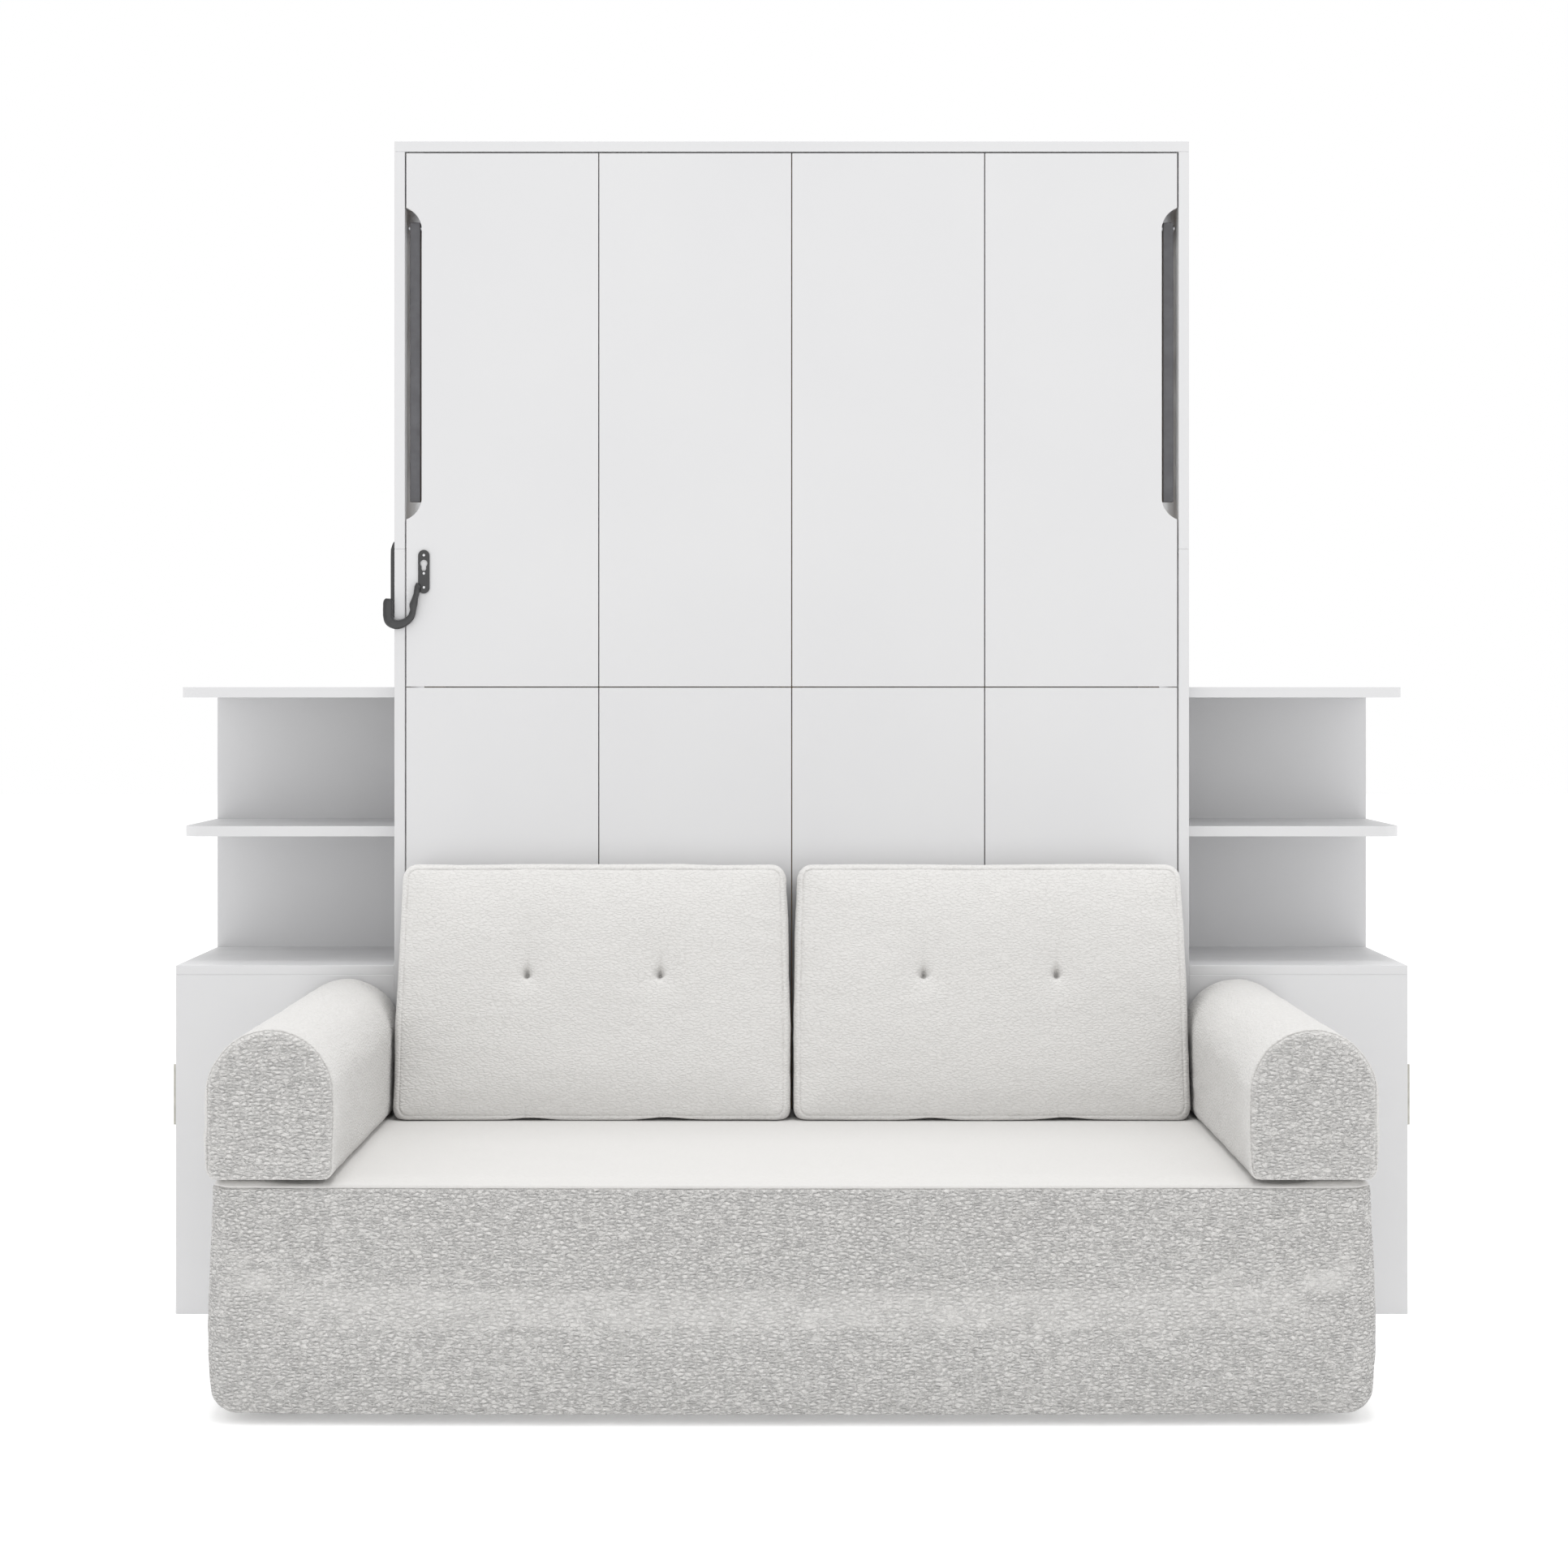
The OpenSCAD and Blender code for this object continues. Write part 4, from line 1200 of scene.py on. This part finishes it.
@dataclass
class BackCushion(PaddedForm):
    """Loose back cushion: two panels on a narrow border, with two tufts."""

    lean: float = math.radians(11.7)
    seam_in: float = 11 * MM
    corner: float = 30 * MM
    taper: float = 0.018
    tuft_apart: float = 250 * MM
    tuft_rise: float = 0.562
    seed: int = 0

    def __post_init__(self) -> None:
        """Draw the cushion upright: x across, y through it from its front, z up its height."""
        super().__post_init__()
        low, high = self.low.copy(), self.high.copy()
        self.floor = low[2]
        self.base = np.array([0.0, low[1], low[2]])
        rise, run = high[2] - low[2], high[1] - low[1]
        sine, cosine = math.sin(self.lean), math.cos(self.lean)
        height = rise / cosine
        thick = (run - height * sine) / cosine
        outer = math.copysign(2 * MM, low[0] + high[0])
        self.low = np.array([low[0] + min(outer, 0), 0.0, 1.0 * MM])
        self.high = np.array([high[0] + max(outer, 0), thick - 1.5 * MM, height + 1.0 * MM])
        self.middle = (low[0] + high[0]) / 2
        self.tufts = [
            (self.middle + side * self.tuft_apart / 2, self.tuft_rise * height) for side in (-1, 1)
        ]

    def grid(self) -> BoxGrid:
        """Grid with close lines at the border's seams and through the tufts."""
        seam = self.seam_in
        (x0, z0), (x1, _) = self.tufts
        across = (self.low[0] + seam, x0, x1, self.high[0] - seam)
        upright = (self.low[2] + seam, z0, z0 + 10 * MM, self.high[2] - seam)
        return BoxGrid(
            lines(self.low[0], self.high[0], 6 * MM, across),
            lines(self.low[1], self.high[1], 8 * MM),
            lines(self.low[2], self.high[2], 6 * MM, upright),
        )

    def drawn(self, points: np.ndarray) -> np.ndarray:
        """Slab with round corners, a little narrower at its top."""
        moved = round_ends(points, self.low, self.high, 1, (self.edge, self.edge))
        for sign, x in ((-1, self.low[0]), (1, self.high[0])):
            for turn, z in ((-1, self.low[2]), (1, self.high[2])):
                moved = turn_corner(moved, (0, 2), (x, z), (sign, turn), self.corner)
        share = (moved[:, 2] - self.low[2]) / (self.high[2] - self.low[2])
        full = 1 - self.taper * share**1.6 + 0.004 * np.sin(np.pi * np.clip(share * 1.25, 0, 1))
        moved[:, 0] = self.middle + (moved[:, 0] - self.middle) * full
        return moved

    def held(self, points: np.ndarray) -> np.ndarray:
        """The border keeps its outline, so only the two panels swell."""
        ends = np.minimum(points - self.low, self.high - points)[:, [0, 2]].min(axis=1)
        return np.where(ends < 1 * MM, 1.0, 0.0)

    def sewn(self, box: np.ndarray, points: np.ndarray, normals: np.ndarray) -> np.ndarray:
        """Border seams, tufts with their creases, and wandering cloth."""
        end = np.minimum(box[:, 1] - self.low[1], self.high[1] - box[:, 1]) < 0.1 * MM
        inside = np.minimum(box - self.low, self.high - box)[:, [0, 2]].min(axis=1)
        uneven = 1 + 0.45 * ripple(points, (0.03, 1.0, 0.03), 25 + self.seed)
        depth = pinch(inside, self.seam_in, 2.0 * MM, 2.2 * MM) * uneven * end
        face = np.abs(normals[:, 1]) > 0.5
        for x, z in self.tufts:
            across, up = points[:, 0] - x, points[:, 2] - z
            tall = np.where(up > 0, 2.0, 0.9)
            hollow = 5.5 * MM * dent(np.hypot(across, up / tall), 34 * MM)
            pit = 25 * MM * dent(np.hypot(across, up / tall), 5.6 * MM)
            fold = np.clip(up / (6 * MM), 0, 1) * np.clip(1 - up / (48 * MM), 0, 1)
            crease = 3.6 * MM * dent(across, 3.4 * MM) * fold
            depth = depth + face * (hollow + pit + crease)
            near_foot = np.clip(1 - (points[:, 2] - self.low[2]) / (40 * MM), 0, 1)
            pleat = 2.6 * MM * dent(across, 2.4 * MM) * near_foot
            depth = depth + pleat * face
        cloth = 1.4 * MM * ripple(points, (0.12, 0.12, 0.09), 26 + self.seed)
        cloth = cloth + 0.6 * MM * ripple(points, (0.03, 0.03, 0.02), 27 + self.seed)
        return points + normals * (cloth - depth)[:, None]

    def laid(self, points: np.ndarray) -> np.ndarray:
        """Lean the cushion back and rest it on the seat."""
        sine, cosine = math.sin(self.lean), math.cos(self.lean)
        placed = np.empty_like(points)
        placed[:, 0] = points[:, 0]
        placed[:, 1] = self.base[1] + points[:, 1] * cosine + points[:, 2] * sine
        placed[:, 2] = self.base[2] - points[:, 1] * sine + points[:, 2] * cosine
        uneven = 1.2 * MM * (1 + ripple(placed * np.array([1, 0, 0]), (0.12, 1, 1), 31 + self.seed))
        for x, _ in self.tufts:
            uneven = uneven + 6 * MM * dent(placed[:, 0] - x - 12 * MM, 42 * MM)
        floor = self.floor + 0.3 * MM + uneven
        soft = 6 * MM
        under = floor - placed[:, 2]
        pressed = floor + soft * np.exp(-(under + soft) / soft)
        placed[:, 2] = np.where(under > -soft, pressed, placed[:, 2])
        return placed

    def nap(self, box: np.ndarray, normals: np.ndarray) -> np.ndarray:
        """Even, fine relief."""
        return np.full(len(box), 0.62)

    def build(self, slot: str, finish: bpy.types.Material) -> bpy.types.Object:
        """Make the cushion and give it its own mesh."""
        piece = super().build(slot, finish)
        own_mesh(piece)
        return piece


@dataclass
class Mattress(PaddedForm):
    """Mattress with quilted faces, a border and dents under its straps."""

    corner: float = 40 * MM
    quilt: float = 175 * MM
    strap_places: tuple[float, ...] = (0.2, 0.8)

    def grid(self) -> BoxGrid:
        """Even grid, closer across the faces."""
        return BoxGrid(
            lines(self.low[0], self.high[0], 9 * MM),
            lines(self.low[1], self.high[1], 10 * MM),
            lines(self.low[2], self.high[2], 9 * MM),
        )

    def drawn(self, points: np.ndarray) -> np.ndarray:
        """Block with round corners."""
        moved = round_ends(points, self.low, self.high, 1, (self.edge, self.edge))
        for sign, x in ((-1, self.low[0]), (1, self.high[0])):
            for turn, z in ((-1, self.low[2]), (1, self.high[2])):
                moved = turn_corner(moved, (0, 2), (x, z), (sign, turn), self.corner)
        return moved

    def strap_heights(self) -> list[float]:
        """Places of the straps along the mattress."""
        return [self.low[2] + share * (self.high[2] - self.low[2]) for share in self.strap_places]

    def sewn(self, box: np.ndarray, points: np.ndarray, normals: np.ndarray) -> np.ndarray:
        """Diamond quilting on the two faces and dents under the straps."""
        face = np.clip((np.abs(normals[:, 1]) - 0.6) / 0.3, 0, 1)
        across = (points[:, 0] + points[:, 2]) / self.quilt
        along = (points[:, 0] - points[:, 2]) / self.quilt
        near = [np.abs(v - np.round(v)) * self.quilt for v in (across, along)]
        depth = face * np.maximum(7 * MM * dent(near[0], 15 * MM), 7 * MM * dent(near[1], 15 * MM))
        for height in self.strap_heights():
            depth = depth + face * (normals[:, 1] > 0) * 6 * MM * dent(points[:, 2] - height, 34 * MM)
        border = 1.2 * MM * ripple(points, (0.07, 0.05, 0.07), 41)
        moved = points + normals * (border - depth)[:, None]
        for axis in (0, 1, 2):
            slack = (1.0, 2.0, 0.2)[axis] * MM
            moved[:, axis] = np.clip(moved[:, axis], self.low[axis] - slack, self.high[axis] + slack)
        moved[:, 1] = np.maximum(moved[:, 1], self.low[1])
        return moved

    def edge_route(self, wall: float, steps: int = 200) -> np.ndarray:
        """Route of an edge tape round the mattress, on one of its faces' edges.

        Args:
            wall: Depth of the tape's middle.
            steps: Number of points.

        Returns:
            The route's points.
        """
        out = 1.0 * MM
        x0, x1, z0, z1 = self.low[0] - out, self.high[0] + out, self.low[2] + out, self.high[2] - out
        r = self.corner
        route = []
        corners = [(x1 - r, z0 + r, -90), (x1 - r, z1 - r, 0), (x0 + r, z1 - r, 90), (x0 + r, z0 + r, 180)]
        for number, (cx, cz, start) in enumerate(corners):
            for step in range(9):
                angle = math.radians(start + step * 90 / 8)
                route.append((cx + r * math.cos(angle), wall, cz + r * math.sin(angle)))
            nx, nz, after = corners[(number + 1) % 4]
            end = math.radians(after)
            last, goal = np.array(route[-1]), np.array((nx + r * math.cos(end), wall, nz + r * math.sin(end)))
            route += [tuple(last + (goal - last) * k / 24) for k in range(1, 24)]
        return np.array(route)


@dataclass
class SoftGoods:
    """Every padded piece of the sofa and the bed."""

    finishes: Finishes

    def __post_init__(self) -> None:
        """Draw the forms."""
        self.seat = SeatCover("seat_cover", "sofa_seat", "cabinet", edge=9 * MM, cap=5 * MM, coarse=30 * MM)
        self.arms = [
            ArmCover(
                f"arm_cover_{side}",
                f"armrest_{side}",
                "cabinet",
                edge=15 * MM,
                cap=5 * MM,
                coarse=16 * MM,
            )
            for side in ("left", "right")
        ]
        self.cushions = [
            BackCushion(
                f"back_cushion_{side}",
                f"cushion_{side}",
                f"cushion_{side}",
                edge=20 * MM,
                cap=12 * MM,
                coarse=16 * MM,
                fill=0.85,
                seed=seed,
            )
            for seed, side in enumerate(("left", "right"))
        ]
        self.mattress = Mattress(
            "mattress_quilted", "mattress", "bed", edge=20 * MM, cap=5 * MM, coarse=36 * MM
        )

    def build(self) -> None:
        """Swell and sew every form, then add tapes and straps."""
        run_swelling([self.seat, *self.arms, *self.cushions, self.mattress])
        self.seat.build("boucle", self.finishes.boucle)
        for arm in self.arms:
            arm.build("boucle", self.finishes.boucle)
        for cushion in self.cushions:
            cushion.build("boucle", self.finishes.boucle_fine)
        self.mattress.build("mattress_ticking", self.finishes.ticking)
        self.build_tapes()
        self.build_straps()

    def build_tapes(self) -> None:
        """Tape over the mattress's two edge seams."""
        profile = disc(5 * MM, 8, 0.7)
        form = self.mattress
        walls = [form.low[1] + 16 * MM, form.high[1] - 14 * MM]
        loops = [sweep(form.edge_route(wall), profile, closed=True, up=Vector((0, 1, 0))) for wall in walls]
        fit("mattress_edge_tape", loops, "bed", "mattress_ticking", self.finishes.tape)

    def build_straps(self) -> None:
        """Elastic straps that hold the mattress to the frame while the bed stands up."""
        form = self.mattress
        rail_low, rail_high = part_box("bed_rail_right")
        x = (form.high[0] + rail_low.x) / 2
        start = form.low[1] + 40 * MM
        top = form.high[1] + 3.2 * MM
        half = [(x, start), (x, top - 30 * MM), (x - 4 * MM, top - 12 * MM)]
        half += [(x - 16 * MM, top - 2 * MM), (x - 60 * MM, top)]
        width, thick = 19 * MM, 0.8 * MM
        profile = np.array([(-width, -thick), (width, -thick), (width, thick), (-width, thick)])
        parts = []
        for height in form.strap_heights():
            right = [(px, py, height) for px, py in half]
            middle = [
                (share * half[-1][0], top - 1.5 * MM * (1 - share**2), height)
                for share in np.linspace(0.9, -0.9, 15)
            ]
            left = [(-px, py, height) for px, py in reversed(half)]
            route = np.array(right + middle + left)
            points, faces = sweep(route, np.roll(profile, 1, axis=1), up=Vector((0, 0, 1)))
            parts.append((points, faces))
        crisp(fit("mattress_straps", parts, "bed", "mattress_ticking", self.finishes.strap))


# ---------- hard parts ----------


@dataclass
class Cabinet:
    """Bed cabinet: painted boards, its steel joint plates, bearings, studs and wall screws."""

    finishes: Finishes
    edge: float = 0.9 * MM

    def build(self) -> None:
        """Dress the boards and fit the screws."""
        boards = ("side_left_lower", "side_left_upper", "side_right_lower", "side_right_upper", "top_panel")
        dress(self.finishes.board, "board_white", *boards, "bottom_back_rail", "kick_board", edge=self.edge)
        dress(self.finishes.board, "board_white", "top_back_rail")
        dress(self.finishes.zinc, "zinc_steel", "side_joint_plates", edge=0.4 * MM)
        dress(self.finishes.dark, "dark_steel", "pivot_bearings", edge=0.8 * MM)
        dress(self.finishes.zinc, "zinc_steel", "strut_studs", edge=0.5 * MM)
        self.fit_wall_screws()
        self.fit_side_screws()

    def fit_wall_screws(self) -> None:
        """Washer-headed screws through the upper rail into the wall."""
        head = PanScrew(7.5 * MM, 4 * MM)
        low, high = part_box("top_back_rail")
        spacing = 812.8 * MM
        parts = []
        for x in (-spacing / 2, spacing / 2):
            base = Vector((x, low.y, (low.z + high.z) / 2))
            washer = [(10 * MM, 0), (10 * MM, 1.2 * MM), (4 * MM, 1.4 * MM)]
            parts.append(lathe(washer, Vector((0, -1, 0)), base))
            parts.append(head.build(base - Vector((0, 1.2 * MM, 0)), Vector((0, -1, 0))))
        crisp(fit("wall_screws", parts, "cabinet", "zinc_steel", self.finishes.screw))

    def fit_side_screws(self) -> None:
        """Screws of the joint plates and of the pivot bearings."""
        plate_low, plate_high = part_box("side_joint_plates")
        bearing_low, bearing_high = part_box("pivot_bearings")
        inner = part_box("side_right_lower")[0].x
        head = PanScrew(4.4 * MM, 2.4 * MM)
        parts = []
        for share_y in (0.2, 0.8):
            for share_z in (0.2, 0.8):
                y = plate_low.y + share_y * (plate_high.y - plate_low.y)
                z = plate_low.z + share_z * (plate_high.z - plate_low.z)
                parts.append(head.build(Vector((inner - 4 * MM, y, z)), Vector((-1, 0, 0))))
        middle = (bearing_low + bearing_high) / 2
        for quarter in range(4):
            angle = quarter * math.pi / 2
            y = middle.y - 27 * MM * math.sin(angle)
            z = middle.z + 27 * MM * math.cos(angle)
            parts.append(head.build(Vector((inner - 5 * MM, y, z)), Vector((-1, 0, 0))))
        parts += [mirror_x(part) for part in parts]
        crisp(fit("side_screws", parts, "cabinet", "zinc_steel", self.finishes.screw))


@dataclass
class BedFrame:
    """Tilting bed front and the timber frame behind it, with pivot arms and leg pins."""

    finishes: Finishes

    def build(self) -> None:
        """Dress the panels, the timbers and the steel parts."""
        panels = ("front_upper_left", "front_upper_middle", "front_upper_right", "front_lower")
        dress(self.finishes.board, "board_white", *panels, edge=0.5 * MM)
        dress(self.finishes.pine_upright, "frame_pine", *both("bed_rail"), "slat_ledgers", edge=1.5 * MM)
        dress(self.finishes.pine_across, "frame_pine", "bed_rail_head", "bed_rail_foot", edge=1.5 * MM)
        dress(self.finishes.birch, "slat_birch", "slats", edge=2.5 * MM, steps=3)
        dress(self.finishes.dark, "dark_steel", *both("pivot_arm"), edge=0.6 * MM)
        dress(self.finishes.zinc, "zinc_steel", "leg_pins", edge=0.5 * MM)


@dataclass
class MovingHardware:
    """Support legs and gas struts."""

    finishes: Finishes

    def build(self) -> None:
        """Dress both sides."""
        dress(self.finishes.leg, "leg_grey", *both("leg"), edge=1.2 * MM, steps=3)
        dress(self.finishes.strut, "strut_black", *both("strut_cylinder"), edge=0.6 * MM)
        dress(self.finishes.chrome, "rod_chrome", *both("strut_rod"), edge=0.3 * MM)


@dataclass
class Latch:
    """Cast hook, its plate with a keyhole, and the keeper on the cabinet's side."""

    finishes: Finishes

    def build(self) -> None:
        """Dress the plates, cast the hook and fit the screws."""
        dress(self.finishes.cast, "latch_black", "latch_plate", edge=0.8 * MM, steps=3)
        self.cast_hook()
        self.shape_keeper()
        self.fit_screws()

    def cast_hook(self) -> None:
        """J-shaped hook: it swells at the middle of its arm and ends in a thick knob."""
        plate_low, plate_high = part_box("latch_plate")
        hook_low, hook_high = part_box("latch_hook")
        pin_x, pin_z = plate_low.x + 3 * MM, plate_low.z + 13 * MM
        mid_y = (hook_low.y + hook_high.y) / 2
        deep = (hook_high.y - hook_low.y) / 2
        stations = [
            (-2, 7, 4, 0.5), (-3, 5, 8, 0.9), (-4, -1, 11.5, 1.0), (-5.2, -11, 11.5, 0.98),
            (-8.4, -23, 12, 1.0), (-11, -33, 15.5, 1.12), (-11.6, -38, 14.6, 1.1), (-12.2, -46, 12.4, 1.0),
            (-16, -58, 13.2, 1.0), (-24.5, -66.5, 14.8, 1.0), (-35, -71.5, 17.4, 1.03),
            (-47, -71.8, 19.4, 1.1), (-57, -66, 19.8, 1.15), (-60.4, -56, 19, 1.15),
            (-60.6, -44, 18.8, 1.15), (-60.4, -32, 18.6, 1.12), (-60.3, -26, 16, 1.0), (-60.2, -22.5, 9, 0.6),
        ]
        route = np.array([(pin_x + x * MM, mid_y, pin_z + z * MM) for x, z, _, _ in stations])
        sizes = np.array([(w * MM / 2, share * deep) for _, _, w, share in stations])
        route, sizes = self.smoothed(route, 5), self.smoothed(sizes, 5)
        profiles = sizes[:, None, :] * soft_square(20, 0.72)[None]
        points, faces = sweep(route, profiles, up=Vector((0, 1, 0)))
        rough = 0.25 * MM * ripple(points, (0.006, 0.006, 0.006), 51)
        points = points + outward_of(points, faces) * rough[:, None]
        points[:, 1] = np.clip(points[:, 1], hook_low.y - 0.6 * MM, hook_high.y)
        mesh = mesh_of("latch_hook_cast", points, faces)
        place("latch_hook_cast", mesh, "latch_hook", "latch_black", self.finishes.cast, ("latch_hook",))

    @staticmethod
    def smoothed(values: np.ndarray, steps: int) -> np.ndarray:
        """Curve through given rows, with some steps between each two."""
        padded = np.concatenate([2 * values[:1] - values[1:2], values, 2 * values[-1:] - values[-2:-1]])
        rows = []
        for n in range(1, len(padded) - 2):
            a, b, c, d = padded[n - 1 : n + 3]
            square, cube = 2 * a - 5 * b + 4 * c - d, 3 * b - a - 3 * c + d
            for t in np.arange(steps) / steps:
                rows.append(0.5 * (2 * b + (c - a) * t + square * t**2 + cube * t**3))
        rows.append(padded[-2])
        return np.array(rows)

    def shape_keeper(self) -> None:
        """Keeper: an upright bar with a rounded and thinned top."""
        low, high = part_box("latch_keeper")
        height = high.z - low.z
        stations = []
        for share in (0.0, 0.01, 0.03, 0.1, 0.5, 0.8, 0.9, 0.95, 0.98, 1.0):
            thin = 1.0 if share < 0.88 else 1.0 - 0.75 * ((share - 0.88) / 0.12) ** 1.7
            stations.append((share, thin if share > 0.005 else 0.8))
        around = 16
        ring = soft_square(around, 0.45)
        half_x, half_y = (high.x - low.x) / 2, (high.y - low.y) / 2
        middle_y = (low.y + high.y) / 2
        points = []
        for share, thin in stations:
            middle_x = high.x - (high.x - low.x) * thin / 2
            wide_x, wide_y = half_x * thin, half_y * (0.75 + 0.25 * thin)
            z = low.z + share * height
            points += [(middle_x + u * wide_x, middle_y + v * wide_y, z) for u, v in ring]
        faces = []
        for n in range(len(stations) - 1):
            for m in range(around):
                a, b = n * around + m, n * around + (m + 1) % around
                faces.append((a, b, b + around, a + around))
        faces.append(tuple(range(around - 1, -1, -1)))
        faces.append(tuple((len(stations) - 1) * around + m for m in range(around)))
        mesh = mesh_of("latch_keeper_bar", np.array(points), faces)
        slot, finish = "latch_black", self.finishes.cast
        crisp(place("latch_keeper_bar", mesh, "cabinet", slot, finish, ("latch_keeper",)), 50)

    def fit_screws(self) -> None:
        """Bright screws, sunk in the plate so that the hook swings over them."""
        low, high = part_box("latch_plate")
        x = high.x - 11 * MM
        front = -3 * MM + FRONT_Y
        sunk = 1.05 * MM
        head = PanScrew(3.0 * MM, 1.2 * MM)
        parts = []
        for z in (low.z + 12 * MM, low.z + 39 * MM, high.z - 10 * MM):
            parts.append(head.build(Vector((x, front + sunk, z)), Vector((0, -1, 0))))
        crisp(fit("latch_screws", parts, "bed", "zinc_steel", self.finishes.screw))


def outward_of(points: np.ndarray, faces: list) -> np.ndarray:
    """Outward direction at each point of a mesh given as points and faces."""
    mesh = mesh_of("scratch", points, faces)
    normals = np.zeros(len(points) * 3)
    mesh.vertices.foreach_get("normal", normals)
    bpy.data.meshes.remove(mesh)
    return normals.reshape(-1, 3)


@dataclass
class SideUnits:
    """Shelf units at both sides, with their doors, pulls and hinges."""

    finishes: Finishes

    def build(self) -> None:
        """Dress the boards and the ironmongery."""
        stems = ("base_top", "base_front", "back_panel", "shelf_middle", "shelf_top", "door")
        boards = [name for stem in stems for name in both(stem)]
        dress(self.finishes.board, "board_white", *boards, "base_inner_sides", "base_bottoms", edge=0.9 * MM)
        dress(self.finishes.greige, "pull_greige", *both("door_pull"), edge=0.4 * MM)
        dress(self.finishes.zinc, "zinc_steel", *both("door_hinges"), "door_frame_hinges", edge=0.3 * MM)


@dataclass
class SofaBase:
    """Board and feet under the seat block."""

    finishes: Finishes

    def build(self) -> None:
        """Dress both."""
        dress(self.finishes.ply, "base_ply", "sofa_base_board", edge=1 * MM)
        dress(self.finishes.plastic, "foot_plastic", "sofa_feet", edge=2.5 * MM, steps=3)


# ---------- studio ----------


@dataclass
class Studio:
    """Camera, pale floor and soft light."""

    distance: float = 6.0
    eye: float = 1.2016
    lens: float = 71.55
    shift: tuple[float, float] = (-0.00492, -0.0600)

    def build(self) -> None:
        """Set up the camera, the floor and the light."""
        scene = bpy.context.scene
        camera = bpy.data.objects.new("camera", bpy.data.cameras.new("camera"))
        scene.collection.objects.link(camera)
        camera.location = (0, FRONT_Y - self.distance, self.eye)
        camera.rotation_euler = (math.radians(90), 0, 0)
        camera.data.lens = self.lens
        camera.data.sensor_width = 36
        camera.data.shift_x, camera.data.shift_y = self.shift
        scene.camera = camera
        scene.view_settings.view_transform = "Standard"
        scene.view_settings.exposure = 0.0
        self.build_floor()
        self.build_light()

    def build_floor(self) -> None:
        """Wide pale floor, slightly lit from within so that it stays even."""
        half = 30.0
        corners = np.array([(-half, -half, 0), (half, -half, 0), (half, half, 0), (-half, half, 0)])
        mesh = mesh_of("floor", corners, [(0, 1, 2, 3)])
        floor = bpy.data.objects.new("floor", mesh)
        bpy.context.scene.collection.objects.link(floor)
        s = Sketch("floor_pale")
        s.colour(s.tones(s.noise(0.8, 2), (0.3, (0.86, 0.86, 0.86)), (0.7, (0.88, 0.88, 0.88))))
        s.set(Roughness=0.9, Specular_IOR_Level=0.1)
        s.shader.inputs["Emission Color"].default_value = (1, 1, 1, 1)
        s.set(Emission_Strength=0.25)
        mesh.materials.append(s.material)

    def build_light(self) -> None:
        """Even white surroundings with one wide lamp in front and one above."""
        world = bpy.data.worlds.new("surroundings")
        world.use_nodes = True
        sky = world.node_tree.nodes["Background"]
        sky.inputs["Color"].default_value = (1, 1, 1, 1)
        sky.inputs["Strength"].default_value = 1.0
        bpy.context.scene.world = world
        self.lamp("front_lamp", (0, -8.5, 2.0), (0, 0, 0.9), 6.0, 42)
        self.lamp("top_lamp", (0, 0.2, 10.0), (0, -0.2, 0), 4.0, 480)

    @staticmethod
    def lamp(name: str, at: tuple, towards: tuple, size: float, power: float) -> None:
        """Add one square area lamp."""
        lamp = bpy.data.objects.new(name, bpy.data.lights.new(name, "AREA"))
        lamp.data.size = size
        lamp.data.energy = power
        lamp.location = at
        lamp.rotation_euler = (Vector(towards) - Vector(at)).to_track_quat("-Z", "Y").to_euler()
        bpy.context.scene.collection.objects.link(lamp)


def main() -> None:
    """Build every sub-assembly in order."""
    logging.basicConfig(level=logging.INFO, format="%(message)s")
    Studio().build()
    finishes = Finishes()
    for assembly in (Cabinet, BedFrame, MovingHardware, Latch, SideUnits, SofaBase, SoftGoods):
        assembly(finishes).build()


if __name__ == "__main__":
    main()
